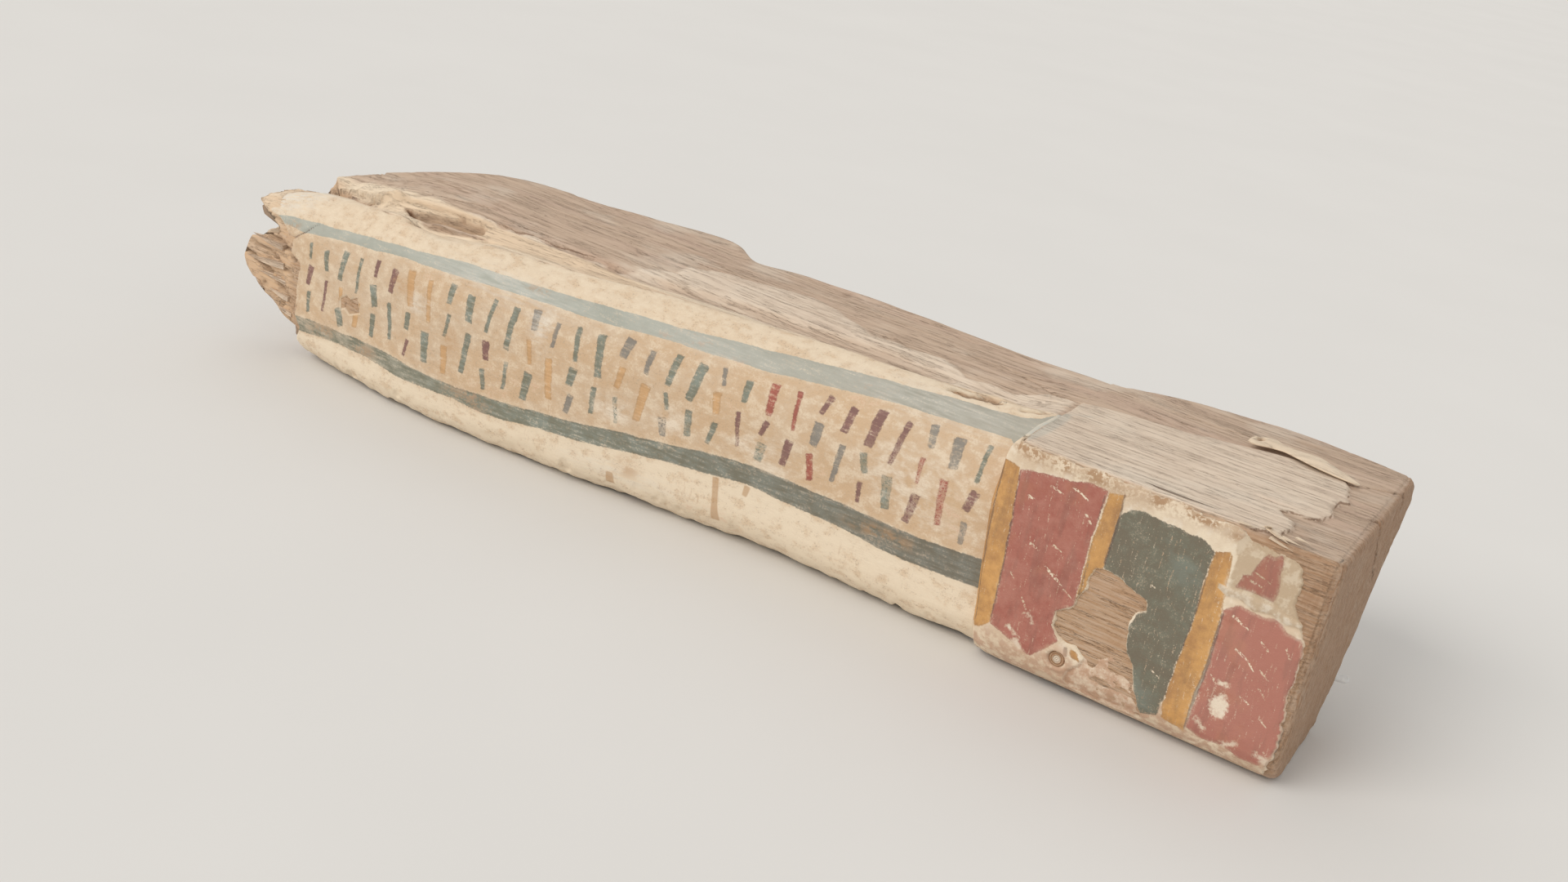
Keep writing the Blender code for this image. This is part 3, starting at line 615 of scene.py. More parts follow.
def bodySkin():
    x = np.linspace(-598, 1.6, plaster["columns"])[:, None]
    share = np.linspace(0, 1, plaster["rows"])[None, :]
    for _ in range(2):  # the height and the left edge depend on each other
        start = lowestAt(x) + 1.5
        s = start + (ridgeAt(x) + 5.0 - start) * share
        first = np.maximum(along(plaster["leftEdge"], s) - 5.0, -606.5)
        x = first + (1.6 - first) * np.linspace(0, 1, plaster["columns"])[:, None]
    place, normal = bandPlace(x, s)
    gap = np.zeros(x.shape)
    for index in np.ndindex(x.shape):
        origin = Vector(place[index] + normal[index] * 14)
        hit = solid.ray_cast(origin, Vector(-normal[index]), 30)[3]
        gap[index] = (hit if hit is not None else 30) - 14
    gap = np.maximum(gap, np.interp(x, (-120, -40), (-14.0, -2.0)))
    atBlock = x > -2.5  # there the gap of the last column before it carries on
    gap[atBlock] = np.repeat(gap[np.argmax(atBlock[:, 80]) - 1][None, :], plaster["columns"], 0)[atBlock]
    missing = gap > 10.0
    # where the wood is gone the skin carries on from its right
    for column in range(plaster["columns"] - 2, -1, -1):
        gap[column] = np.where(missing[column], gap[column + 1], gap[column])
    gap = blur(blur(gap, 5, 0), 3.5, 1)
    missing = blur(missing.astype(float), 1.5, 0)
    return x, s, place - normal * (gap + 6 * missing)[..., None], normal, missing


def spots(x, s, places):  # soft round patches: x, s, half width, half height and, where given, strength
    total = np.zeros_like(x)
    for cx, cy, wide, tall, *strength in places:
        away = np.hypot((x - cx) / wide, (s - cy) / tall)
        total = np.maximum(total, (strength[0] if strength else 1) * soft(1.25, 0.2, away))
    return total


def lineEdge(name, side, x):  # s of one side of a painted line
    return np.interp(x, *np.array(plaster[name])[:, [0, side]].T)


def paintedRows():  # plain bars across the column, row by row: pigment, points (x, s) and widths
    rows, marks = plaster["barRows"], []
    count = int((rows["last"] - rows["first"]) / rows["step"]) + 1
    for number in range(count):
        x = rows["first"] + number * rows["step"]
        low = lineEdge("lowLine", 2, x) + rows["margin"]
        tall = lineEdge("topLine", 1, x) - rows["margin"] - low
        pigments = plaster["barPigments"][number * len(plaster["barPigments"]) // count]
        for place, (start, end) in enumerate(plaster["bars"][number % len(plaster["bars"])]):
            lean = rows["lean"] * math.sin(2.3 * number + 1.7 * place)
            wide = plaster["barWidths"][(2 * number + place) % len(plaster["barWidths"])]
            points = [(x - lean, low + tall * start), (x + lean, low + tall * end)]
            marks.append((pigments[(number + place) % len(pigments)], points, [0.8 * wide, wide]))
    return marks


def bodyRelief(x, s, missing):
    at = np.stack([x, s, 0 * x], -1)
    edge = clouds(at, (13, 11, 9), 41) * 2.4 + clouds(at, (3.4, 3.0, 9), 43) * 0.9
    left = x - along(plaster["leftEdge"], s) + edge * 0.8
    ridge = ridgeAt(x) - s + edge * 0.7 - 1.0
    bottom = s - lowestAt(x) - 4 + edge * 1.8
    inside = np.minimum(np.minimum(left, ridge), np.minimum(bottom, 3 - 8 * missing))
    for points, *_ in wood["hollows"]:
        inside = np.minimum(inside, 1.0 - areaDistance(x, s, points) + 0.5 * edge)
    whole = inside.copy()
    relief = -0.25 + 0.26 * clouds(at, (60, 26, 9), 45) + 0.10 * clouds(at, (14, 9, 9), 47)
    relief += 0.06 * clouds(at, (3.5, 3, 9), 49)
    lowRim = soft(-58, -84, s)
    relief += lowRim * (1.3 * clouds(at, (15, 14, 9), 63) + 0.6 * clouds(at, (5, 6, 9), 64) - 0.3)
    relief -= 1.8 * lowRim * soft(0.30, 0.50, clouds(at, (9, 16, 9), 65))
    relief -= plaster["sunk"] * soft(0.5, -0.8, inside)
    for points, deep in plaster["flakes"]:
        away = 0.3 * edge - areaDistance(x, s, points)
        relief -= deep * soft(0.4, -0.5, away)
        inside = np.minimum(inside, away)
    crack = strokeDistance(x + 0.4 * grainNoise(at, (3, 3, 9), 51), s + 0.5 * grainNoise(at, (4, 4, 9), 52),
                           plaster["crack"], [0.3, 0.9, 1.1, 1.2, 0.8, 0.8])
    relief -= 1.0 * soft(-0.7, 0.3, crack)
    relief += 0.5 * soft(4, 0.4, -crack) * soft(-3, 0, s - np.interp(x, (-565, -530), (24, 30)))
    rub = spots(x, s, plaster["rubbed"])
    relief -= 0.30 * rub * soft(-0.1, 0.4, clouds(at, (9, 6, 9), 53))
    wander = 0.5 * clouds(at, (11, 9, 9), 57) + 0.25 * clouds(at, (3, 3, 9), 58)
    topLow, topHigh = lineEdge("topLine", 1, x), lineEdge("topLine", 2, x)
    lowLow, lowHigh = lineEdge("lowLine", 1, x), lineEdge("lowLine", 2, x)
    upper = np.maximum(np.minimum(s - topLow, topHigh - s), areaDistance(x, s, plaster["corner"])) + wander
    lower = np.minimum(s - lowLow, lowHigh - s) + wander
    layers = {"upper": upper, "teal": lower}
    for name in ("bars", "ochre", "plum", "slate", "red"):
        layers[name] = np.full(x.shape, -9.0)
    shiftX, shiftS = 0.6 * clouds(at, (6, 5, 9), 59), 0.6 * clouds(at, (6, 5, 9), 61)
    for colour, points, widths in paintedRows():
        name = "bars" if colour == "teal" else colour
        layers[name] = np.maximum(layers[name], strokeDistance(x + shiftX, s + shiftS, points, widths))
    drip = np.full(x.shape, -9.0)
    for points, widths in plaster["drips"]:
        drip = np.maximum(drip, strokeDistance(x, s, points, widths))
    text = soft(-4, 4, s - lowHigh) * soft(4, -4, s - topLow)
    for name, places in (("stain", "stains"), ("haze", "paintedSheenSpots"), ("lineWear", "lineWear")):
        layers[name] = spots(x, s, plaster[places])
    layers.update({"right": np.clip(1 + x / timber["body"], 0, 1), "below": soft(3, -5, s - lowLow),
                   "rim": np.clip(inside, -4, 8), "whole": np.clip(whole, -4, 8),
                   "rub": rub, "drip": drip, "text": text, "line": crack})
    for name in ("teal", "bars", "upper", "ochre", "plum", "slate", "red", "drip", "line"):
        layers[name] = np.clip(layers[name], -5, 5)
    return relief, layers


def skinPiece(name, outer, inner, layers):
    grid = np.concatenate([outer, inner], 1)
    rows, columns = grid.shape[:2]
    faces = tubeFaces(rows, columns)
    faces += [list(range(columns)), [(rows - 1) * columns + k for k in range(columns)]]
    piece = newPiece(name, grid.reshape(-1, 3), faces)
    for layerName, values in layers.items():
        extra = np.repeat(values[:, :1], inner.shape[1], 1)
        setValues(piece, layerName, np.concatenate([values, extra], 1).ravel())
    return piece


def makeBodyPlaster():
    x, s, flat, normal, missing = bodySkin()
    relief, layers = bodyRelief(x, s, missing)
    outer = flat + normal * relief[..., None]
    picks = np.linspace(plaster["rows"] - 1, 0, plaster["innerRows"]).astype(int)
    inner = flat[:, picks] - normal[:, picks] * plaster["innerDepth"]
    return skinPiece("body_plaster", outer, inner, layers)


bodyPlaster = makeBodyPlaster()
print("body plaster", len(bodyPlaster.data.polygons))


# Plaster, linen and paint of the squared block
block = {
    "columns": 216, "rows": 180, "wrap": 24, "frontTo": 176.2,
    # the left edge of its front, and where its left side meets the body: z and x
    "side": ((-140, 0.6), (-115, 0), (-101, -0.9), (-82, -3.2), (-57, -5.8), (-37, -6.4), (-22, -6.4),
             (-12, -5.8), (-7, -4.8), (-3, -2.8), (0, -0.4)),
    "foot": ((-140, -3.5), (-126, -3.7), (-106, -4.3), (-86, -6.4), (-61, -8.3), (-42, -10.2), (-22, -10.6),
             (-14, -9.8), (-8, -8.4), (-4, -6.0), (-1, -2.4), (0, -1.0)),
    "innerRows": 10, "innerDepth": 6.0, "sunk": 3.2,
    "topEdge": ((0, -2.0), (23, -1.5), (45, -2.0), (75, -1.6), (92, -1.8), (106, -2.6), (118, -3.0),
                (128, -3.6), (133, -6.5), (138, -7.5), (150, -7.5), (158, -10.0), (163, -13.0),
                (180, -16.0)),
    "rightEdge": ((-138, 171), (-128, 173.6), (-118, 175.0), (-104, 175.4), (-91, 174.8), (-80, 172.6),
                  (-72, 174.4), (-56, 173.6), (-47, 171), (-40, 169), (-33, 163), (-22, 163.5), (-12, 161),
                  (0, 150)),
    "bottomEdge": ((0, -139), (20, -140), (60, -139.5), (100, -141), (130, -142), (165, -140), (180, -137)),
    "loss": [(60, -53), (66, -52), (72, -53), (78, -56), (83, -57.5), (90.5, -60), (91, -65.5), (86.5, -68),
             (85.0, -72), (84.4, -77), (85.6, -83), (85.8, -88), (87.5, -92), (92, -98), (96, -110),
             (101, -122), (104, -130), (76, -133), (62, -131), (57, -126), (58, -118), (64, -112),
             (66, -106), (60, -101), (54, -102), (49, -99.5), (44.6, -94.7), (46, -91), (44.5, -86.5),
             (50, -83), (54, -79.4), (54.4, -75), (55, -72.3), (58.5, -66.7), (57.6, -62), (58, -59)],
    "primer": [(56, -126), (58, -114), (66, -106), (72, -103), (80, -97), (88, -100), (97, -112),
               (106, -130), (80, -137), (60, -136)],
    "yellow": [[(-14, -13.2), (-3, -14.4), (4.6, -15.2), (6.2, -28), (7.6, -47), (8.9, -72), (9.4, -109),
                (2, -116), (-14, -118)],
               [(56, -9.5), (64.4, -8), (64.6, -28.5), (63.6, -52), (58.6, -60), (54.0, -78), (53.2, -70),
                (53.6, -40), (55.0, -22)],
               [(117, -19), (125, -16.5), (127, -24), (127.4, -34), (129.4, -52), (130.2, -78), (128.2, -98),
                (128, -124), (114.5, -121), (113.6, -112), (114.7, -83), (116, -64), (115.8, -40)],
               [(57.4, -103.4), (62, -105), (64.5, -109.5), (58.3, -108.5)]],
    "red": [[(4.6, -16), (12, -13.5), (22, -12), (37, -10.4), (46, -8), (55.6, -9), (54, -22), (53, -38),
             (53.4, -72), (53, -79), (44, -87), (44, -95), (50, -102.5), (42, -112), (36, -118.5),
             (22, -113.5), (9.2, -109), (8.5, -72), (7.2, -47), (5.8, -28)],
            [(129.4, -47.5), (136.5, -41.8), (149.5, -43.5), (157, -41), (163, -46.5), (171, -47),
             (174.2, -56), (176, -72), (173, -80), (176.5, -91), (177.4, -104), (175.8, -114), (169, -126),
             (158, -126.5), (149, -122), (137.5, -124), (128.6, -120.5), (130.0, -80)],
            [(140.5, -13), (143, -10), (146, -11), (149, -7), (151, -11.4), (151.3, -18), (153.2, -27.5),
             (151.7, -34), (141, -33), (131.5, -34), (133.5, -25.5), (137, -24)]],
    "night": [[(66.2, -17), (70, -13.8), (76, -12.4), (84, -13.6), (96, -14), (102.7, -15.4), (109.4, -14.4),
               (117, -19.6), (115.7, -36.5), (116.4, -64), (114.6, -84), (113.8, -105), (112, -121),
               (102.5, -125), (100, -120), (91, -98), (85.5, -90), (84.5, -78), (90, -62), (83, -57),
               (63.5, -51), (63.8, -30), (64.2, -20)]],
    "lines": [([(-6.0, -14), (-6.2, -22), (-6.6, -37), (-5.8, -57), (-3.9, -82), (-1.6, -101), (-0.6, -112)],
               [0.8, 1.4, 1.4, 1.3, 1.2, 1.0, 0.6]),
              ([(4.9, -15), (6.0, -28), (7.4, -47), (8.7, -72), (9.2, -107)], [0.4, 0.8, 1.1, 1.1, 0.7]),
              ([(64.4, -8), (64.4, -30), (63.4, -49)], [0.9, 1.5, 1.4]),
              ([(117.0, -22), (116.4, -50), (114.8, -84)], [0.4, 0.9, 0.6]),
              ([(129.6, -50), (130.2, -80), (128.6, -99), (128, -122)], [1.4, 2.0, 1.8, 0.8]),
              ([(54.2, -40), (54.8, -60), (54.2, -78)], [0.5, 1.0, 1.2]),
              ([(54.0, -12), (53.8, -26)], [0.8, 0.5]), ([(55.0, -104.5), (56.2, -109)], [2.2, 2.0])],
    "linen": [(126, -10), (134, 3), (164, -6), (165, -30), (170, -38), (160, -41), (136, -40), (128, -36),
              (128, -18)],
    "band": [([(124, -36.5), (130, -37.5), (137, -37), (144, -39), (152, -38), (160, -40.5), (169, -41)],
              [2.0, 4.5, 4.0, 6.0, 5.0, 4.5, 2.5])],
    "chalk": [([(137, -97), (143, -92), (147, -97), (146, -106), (141, -108), (137, -103)], []),
              ([(149, -121), (156, -117)], [3, 3]), ([(138, -88), (143, -87)], [2.4, 2]),
              ([(26, -112), (30, -117)], [5, 3]), ([(166, -118), (173, -121)], [3, 6]),
              ([(29, -94), (33, -98)], [3.5, 2]), ([(20, -106), (26, -110)], [2.5, 2]),
              ([(132, -112), (138, -117)], [2.0, 3.0])],
    "scratches": [([(31, -63), (38, -66.5), (44, -71)], [0.8, 2.2, 0.8]),
                  ([(45, -72), (51, -75)], [1.0, 0.5]), ([(21, -54), (26, -56)], [1.8, 0.8]),
                  ([(13, -28), (18, -29)], [1.6, 0.7]), ([(33, -50), (40, -52)], [1.6, 0.5]),
                  ([(24, -86), (28, -92)], [0.8, 1.6]), ([(135, -49), (145, -53)], [1.8, 0.6]),
                  ([(151, -56), (157, -60)], [0.6, 1.2]), ([(141, -66), (148, -69), (153, -74)],
                                                           [1.4, 1.2, 0.5]), ([(156, -72), (162, -76)],
                                                                              [1.2, 0.5]),
                  ([(165, -55), (168, -60)], [1.2, 0.8]), ([(133, -85), (137, -89)], [0.6, 1.3]),
                  ([(158, -82), (163, -86)], [1.1, 0.5]), ([(24, -18), (32, -20)], [1.4, 0.6]),
                  ([(36, -14), (46, -18)], [1.4, 0.8]), ([(47, -26), (51, -31)], [1.4, 0.6]),
                  ([(137, -27), (146, -29)], [1.1, 0.5]), ([(139, -22), (148, -25)], [0.9, 0.5]),
                  ([(72, -90), (77, -92)], [0.6, 0.8]), ([(90, -50), (94, -51)], [1.0, 0.6]),
                  ([(14, -74), (17, -78)], [1.0, 0.5]), ([(103, -96), (108, -99)], [0.8, 0.5]),
                  ([(150, -90), (156, -92)], [0.6, 1.2]), ([(163, -97), (168, -101)], [1.0, 0.5])],
    "dowel": (51.5, -113.5),
}


def blockSkin():
    # across: from inside the body, over the left edge, along the front; down: from the top to the base
    turn = timber["blockUnder"] * math.pi / 2
    flatLength = timber["height"] - timber["blockUnder"]
    down = np.linspace(0.4, flatLength + turn - 1.0, block["rows"])[None, :]
    dip = np.clip((down - flatLength) / timber["blockUnder"], 0, math.pi / 2)
    z = -np.minimum(down, flatLength) - timber["blockUnder"] * np.sin(dip)
    under = timber["blockUnder"] * (1 - np.cos(dip))
    wrap = block["wrap"]
    side = along(block["side"], z)
    across = side + (block["frontTo"] - side) * np.linspace(0, 1, block["columns"] - wrap)[:, None] ** 1.03
    x = np.concatenate([np.repeat(side, wrap, 0), across])
    z, under, dip = z + 0 * x, under + 0 * x, dip + 0 * x
    y = np.zeros(x.shape)
    for index in np.ndindex(x[wrap:].shape):
        place = (index[0] + wrap, index[1])
        lean = Vector((0, -math.cos(dip[place]), -math.sin(dip[place])))
        aim = Vector((max(x[place], 2.5), under[place], z[place]))
        hit = solid.ray_cast(aim - lean * -12, lean * -1, 30)[3]
        y[place] = min((hit if hit is not None else 14) - 12, 5.0)
    y[wrap:] = blur(y[wrap:], 1.2, 0)
    y += 0.03 * np.maximum(2.5 - x, 0) ** 2
    normal = np.stack([0 * x, -np.cos(dip), -np.sin(dip)], -1)
    flat = np.stack([x, under, z], -1) - normal * y[..., None]
    flat[..., 2] -= 2.2 * soft(110, 124, x) * soft(-3, 0, z)  # the bare top is lower there
    first = flat[wrap].copy()
    foot = along(block["foot"], first[:, 2])
    for k in range(wrap):
        share = np.clip(1.12 - 1.12 * k / wrap, 0, 1.12)  # the last steps go down into the body
        sideX = first[:, 0] + (foot - first[:, 0]) * min(share, 1)
        bodyY = bodyFrontAt(sideX, first[:, 2])
        reach = np.maximum(bodyY - first[:, 1], 0.5)
        sideY = first[:, 1] + reach * (0.5 - 0.5 * math.cos(math.pi * min(share, 1))) ** 0.9 + max(share - 1,
                                                                                                   0) * 30
        flat[k] = np.stack([sideX, sideY, first[:, 2]], -1)
    sideNormal = normalsOf(flat, False)
    sideNormal *= -np.sign(sideNormal[wrap + 20, 60, 1])
    normal[:wrap + 2] = sideNormal[:wrap + 2]
    u = x.copy()
    u[:wrap] = flat[:wrap, :, 0]
    return u, -down + 0 * x, flat, normal


def blockRelief(u, v):
    at = np.stack([u, v, 0 * u], -1)
    edge = clouds(at, (8, 8, 9), 71) * 1.3 + clouds(at, (2.6, 2.6, 9), 73) * 0.7
    top = along(block["topEdge"], u) - v + 1.6 * edge
    right = along(block["rightEdge"], v) - u + 1.5 * edge
    bottom = v - along(block["bottomEdge"], u) + edge
    hole = -areaDistance(u, v, block["loss"]) + edge * 0.6
    fromDowel = np.hypot(u - block["dowel"][0], v - block["dowel"][1])
    socket = fromDowel - 4.4 + 0.3 * edge
    primer = areaDistance(u, v, block["primer"]) + edge * 1.8
    inside = np.minimum(np.minimum(np.minimum(top, right), bottom), np.minimum(hole, socket))
    relief = -0.22 + 0.14 * clouds(at, (30, 30, 9), 75) + 0.05 * clouds(at, (4, 4, 9), 77)
    inside = np.where(u < 1.0, 2.0, inside)
    relief -= block["sunk"] * soft(0.35, -0.6, inside)
    low = soft(-1.6, 1.6, primer) * soft(0.6, -0.6, hole)
    crumbs = 0.35 * clouds(at, (6, 5, 9), 79) + 0.15 * clouds(at, (2.5, 2.5, 9), 80)
    relief += low * (block["sunk"] - 1.25 + crumbs)
    pu, pv = u + 0.5 * clouds(at, (5, 5, 9), 81), v + 0.5 * clouds(at, (5, 5, 9), 83)
    layers = {}
    for name in ("yellow", "red", "night"):
        layers[name] = np.max([areaDistance(pu, pv, points) for points in block[name]], 0)
    for name in ("lines", "scratches", "band", "chalk"):
        layers[name] = np.max([strokeDistance(pu, pv, points, widths)
                               if widths else areaDistance(pu, pv, points)
                               for points, widths in block[name]], 0)
    linen = np.maximum(areaDistance(pu, pv, block["linen"]), layers["band"]) + 1.8 * clouds(at, (7, 7, 9),
                                                                                            85)
    fringe = soft(9, 2, along(block["topEdge"], u) - v) * soft(-0.2, 0.5, clouds(at, (9, 5, 9), 87))
    relief -= (0.30 * soft(-0.8, 0.8, linen) + 0.45 * fringe) * soft(-0.5, 1, inside)
    relief += 0.75 * soft(-0.8, 1.4, layers["band"]) - 0.35 * soft(1.6, 0.2, np.abs(layers["band"] + 1.2))
    relief -= 0.25 * soft(-0.4, 0.3, layers["scratches"]) + 0.3 * soft(-1, 1, layers["chalk"] + edge)
    relief += 0.7 * soft(3.0, 0.6, np.abs(fromDowel - 6.0)) * soft(0, 1, inside)
    layers.update({"linen": linen, "rim": inside, "endward": soft(118, 134, u), "primer": low,
                   "fringe": fringe,
                   "high": np.where(u > 0, v, -60) / 10, "socket": fromDowel / 4})
    layers = {name: np.clip(values, -12, 12) for name, values in layers.items()}
    return relief, layers


def makeBlockPlaster():
    u, v, flat, normal = blockSkin()
    relief, layers = blockRelief(u, v)
    layers["seam"] = soft(6, 22, flat[..., 1]) * soft(-26, -6, flat[..., 2])
    outer = flat + normal * relief[..., None]
    picks = np.linspace(block["rows"] - 1, 0, block["innerRows"]).astype(int)
    inward = np.array([0.0, block["innerDepth"], 0.0])
    inner = flat[:, picks] + inward
    wrap = block["wrap"]
    inner[:wrap, :, 0] = np.maximum(inner[:wrap, :, 0], 1.5)
    inner[:wrap, :, 1] = np.maximum(inner[wrap, :, 1], flat[:wrap, picks, 1])
    inner[..., 2] = np.maximum(inner[..., 2], -timber["height"] + 3)
    return skinPiece("block_plaster", outer, inner, layers)


blockPlaster = makeBlockPlaster()
print("block plaster", len(blockPlaster.data.polygons))


# Small loose pieces: the curled strip, chips along the painted edge, splinters of the broken end
loose = {
    # the curl's middle line: x, y, half width, height above the top
    "curl": ((93, 123.6, 6.0, 3.6), (97, 125.5, 10.6, 3.9), (103, 127.3, 10.6, 3.9), (108, 127.5, 7.0, 3.4),
             (115, 126.8, 6.0, 3.0), (124, 125.2, 9.2, 3.7), (131, 123.2, 10.2, 3.8), (138, 120.8, 8.8, 3.4),
             (147, 118.0, 5.8, 2.4), (158, 115.0, 1.2, 0.6)),
    # chips: root x, y, z, then tip x, y, z, width and thickness
    "chips": ((137.5, 7.5, 0.2, 150.5, 0.6, -1.2, 3.4, 1.0), (136.5, 9.5, 0.2, 139.5, 4.0, 2.6, 3.0, 0.7),
              (124.0, 3.2, -0.2, 134.0, 1.4, 0.6, 2.6, 0.6), (141.0, 3.0, -2.2, 153.0, 1.2, -4.4, 3.4, 0.7),
              (146.0, 5.0, -0.6, 157.0, 3.0, -1.0, 2.8, 0.6), (152.0, 9.0, 0.2, 160.0, 5.0, 0.9, 2.4, 0.6)),
    # splinters: root x, y, z, then tip x, y, z, width and thickness
    "splinters": ((-570, 20, -41, -603, 23, -48, 13, 4.5), (-566, 9, -62, -599, 8.5, -61, 9, 3.5),
                  (-564, 9, -75, -606, 9, -79, 10, 4.0), (-562, 10, -87, -601, 10, -87, 9, 3.5),
                  (-558, 9, -98, -588, 9.5, -96, 9, 3.5), (-552, 7, -108, -570, 8, -107, 8, 3.0),
                  (-562, 34, -36, -592, 37, -44, 12, 4.5)),
}


def curledStrip():
    bpy.ops.object.select_all(action="DESELECT")
    bpy.ops.mesh.primitive_grid_add(x_subdivisions=44, y_subdivisions=12, size=2.0)
    piece = bpy.context.active_object
    piece.name = "wood_curl"
    places = np.array([v.co[:] for v in piece.data.vertices])
    share, side = places[:, 0] / 2 + 0.5, places[:, 1]
    path = np.array(loose["curl"])
    middle = np.stack([np.interp(share, np.linspace(0, 1, len(path)), path[:, k]) for k in range(4)], -1)
    spot = np.stack([middle[:, 0], middle[:, 1], 0 * side], -1)
    head = soft(0.30, 0.18, share)
    fromMiddle = np.hypot(side, 9 * (share - 0.11))  # of the head's dimple
    wave = 0.35 * grainNoise(spot + np.stack([0 * side, 6 * side, 0 * side], -1), (7, 4, 9), 91)
    fall = 0.60 * np.maximum(side, 0) ** 2 + 0.36 * np.minimum(side, 0) ** 2  # the near edge stands free
    lift = middle[:, 3] * (1 - fall) - head * 2.6 * soft(0.62, 0.1,
                                                         fromMiddle) + 0.9 * head * soft(0.5, 1, side)
    setValues(piece, "brown", 1.1 * head * soft(0.5, 0.2, fromMiddle))
    spread = 0.94 * middle[:, 2] * (side + 0.16 * np.sin(share * 21) * (1 - np.abs(side)))
    height = np.clip(lift + wave + 0.1, 0.0, 4.0)
    moved = np.stack([middle[:, 0] + 0.22 * spread, middle[:, 1] + 0.97 * spread, height], -1)
    for vertex, place in zip(piece.data.vertices, moved):
        vertex.co = Vector(corner + place / 1000)
    wall = piece.modifiers.new("thickness", "SOLIDIFY")
    wall.thickness, wall.offset = 0.0009, -1.0
    bpy.ops.object.modifier_apply(modifier=wall.name)
    smooth = piece.modifiers.new("smooth", "SUBSURF")
    smooth.levels = smooth.render_levels = 1
    bpy.ops.object.modifier_apply(modifier=smooth.name)
    bpy.ops.object.shade_smooth()
    return piece


def shard(number, root, tip, wide, thick):  # a cube drawn out to a ragged point along the grain
    bpy.ops.object.select_all(action="DESELECT")
    bpy.ops.mesh.primitive_cube_add(size=2.0)
    piece = bpy.context.active_object
    bpy.ops.object.mode_set(mode="EDIT")
    bpy.ops.mesh.subdivide(number_cuts=5)
    bpy.ops.object.mode_set(mode="OBJECT")
    root, tip = Vector(corner) + Vector(root) / 1000, Vector(corner) + Vector(tip) / 1000
    turn = (tip - root).to_track_quat("X", "Z")
    length = (tip - root).length
    places = np.array([v.co[:] for v in piece.data.vertices])
    share = places[:, 0] / 2 + 0.5
    jag = grainNoise(places * np.array([1, 4, 4]) + 7.3 * number, (1.0, 1.3, 1.3), 93)
    uneven = grainNoise(np.stack([3 * share, 0 * share, 0 * share + number], -1), (1, 1, 1), 95)
    narrow = (1 - share ** 1.6) * (1 + 0.35 * uneven)
    for vertex, place, size, notch, part in zip(piece.data.vertices, places, narrow, jag, share):
        size = max(size, 0.04)
        across = Vector((length * (part * (1 + 0.10 * notch) - 0.06),
                         place[1] * wide / 2000 * size * (1 + 0.2 * notch),
                         place[2] * thick / 2000 * size * (1 + 0.3 * notch)))
        vertex.co = root + turn @ across
    bpy.ops.object.shade_smooth_by_angle(angle=0.7)
    return piece


def joined(name, rows):
    pieces = [shard(number, row[:3], row[3:6], row[6], row[7]) for number, row in enumerate(rows)]
    selectOnly(*pieces)
    bpy.ops.object.join()
    pieces[0].name = name
    return pieces[0]


woodCurl = curledStrip()
edgeChips = joined("edge_chips", loose["chips"])
endSplinters = joined("end_splinters", loose["splinters"])
print("loose pieces")


# Shader maths: a socket that can be added, multiplied and fed to other nodes
class Sock:
    def __init__(self, tree, link):
        self.tree, self.link = tree, link

    def node(self, kind, settings=None, inputs=None, out=0):
        made = self.tree.nodes.new(kind)
        for name, value in (settings or {}).items():
            if name == "stops":
                while len(made.color_ramp.elements) < len(value):
                    made.color_ramp.elements.new(1.0)
                for stop, (place, colour) in zip(made.color_ramp.elements, value):
                    stop.position, stop.color = place, (*colour, 1.0)
            else:
                setattr(made, name, value)
        for name, value in (inputs or {}).items():
            if isinstance(value, Sock):
                self.tree.links.new(value.link, made.inputs[name])
            else:
                made.inputs[name].default_value = value
        return Sock(self.tree, made.outputs[out])

    def maths(self, operation, first, second=0.0):
        return self.node("ShaderNodeMath", {"operation": operation}, {0: first, 1: second})

    def __add__(self, other):
        return self.maths("ADD", self, other)

    def __sub__(self, other):
        return self.maths("SUBTRACT", self, other)

    def __rsub__(self, other):
        return self.maths("SUBTRACT", other, self)

    def __mul__(self, other):
        return self.maths("MULTIPLY", self, other)

    __radd__ = __add__
    __rmul__ = __mul__

    def over(self, other):
        return self.maths("MAXIMUM", self, other)

    def sine(self):
        return self.maths("SINE", self)

    def size(self):
        return self.maths("ABSOLUTE", self)

    def soft(self, start, end):
        return self.node("ShaderNodeMapRange", {"interpolation_type": "SMOOTHSTEP"},
                         {"Value": self, "From Min": start, "From Max": end})

    def layer(self, name):
        return self.node("ShaderNodeAttribute", {"attribute_name": name}, out=2)

    def stretched(self, by):
        return self.node("ShaderNodeVectorMath", {"operation": "MULTIPLY"}, {0: self, 1: by})

    def noise(self, by, detail=3.0, roughness=0.55):  # by: cycles in a millimetre on each axis
        spread = self.stretched(tuple(1000 * k for k in by))
        return self.node("ShaderNodeTexNoise", None,
                         {"Vector": spread, "Scale": 1.0, "Detail": detail, "Roughness": roughness})

    def mix(self, first, second, factor, blend="MIX"):
        return self.node("ShaderNodeMix", {"data_type": "RGBA", "blend_type": blend},
                         {0: factor, 6: first, 7: second}, out=2)

    def bump(self, height, distance):
        return self.node("ShaderNodeBump", None, {"Height": height, "Distance": distance})


def newMaterial(name, roughness):
    material = bpy.data.materials.new(name)
    material.use_nodes = True
    tree = material.node_tree
    shader = tree.nodes["Principled BSDF"]
    shader.inputs["Roughness"].default_value = roughness
    shader.inputs["Specular IOR Level"].default_value = 0.35
    coords = tree.nodes.new("ShaderNodeTexCoord")
    return material, shader, Sock(tree, coords.outputs["Object"])


def rgb(red, green, blue):
    return (red, green, blue, 1.0)


def feed(shader, name, sock):
    sock.tree.links.new(sock.link, shader.inputs[name])


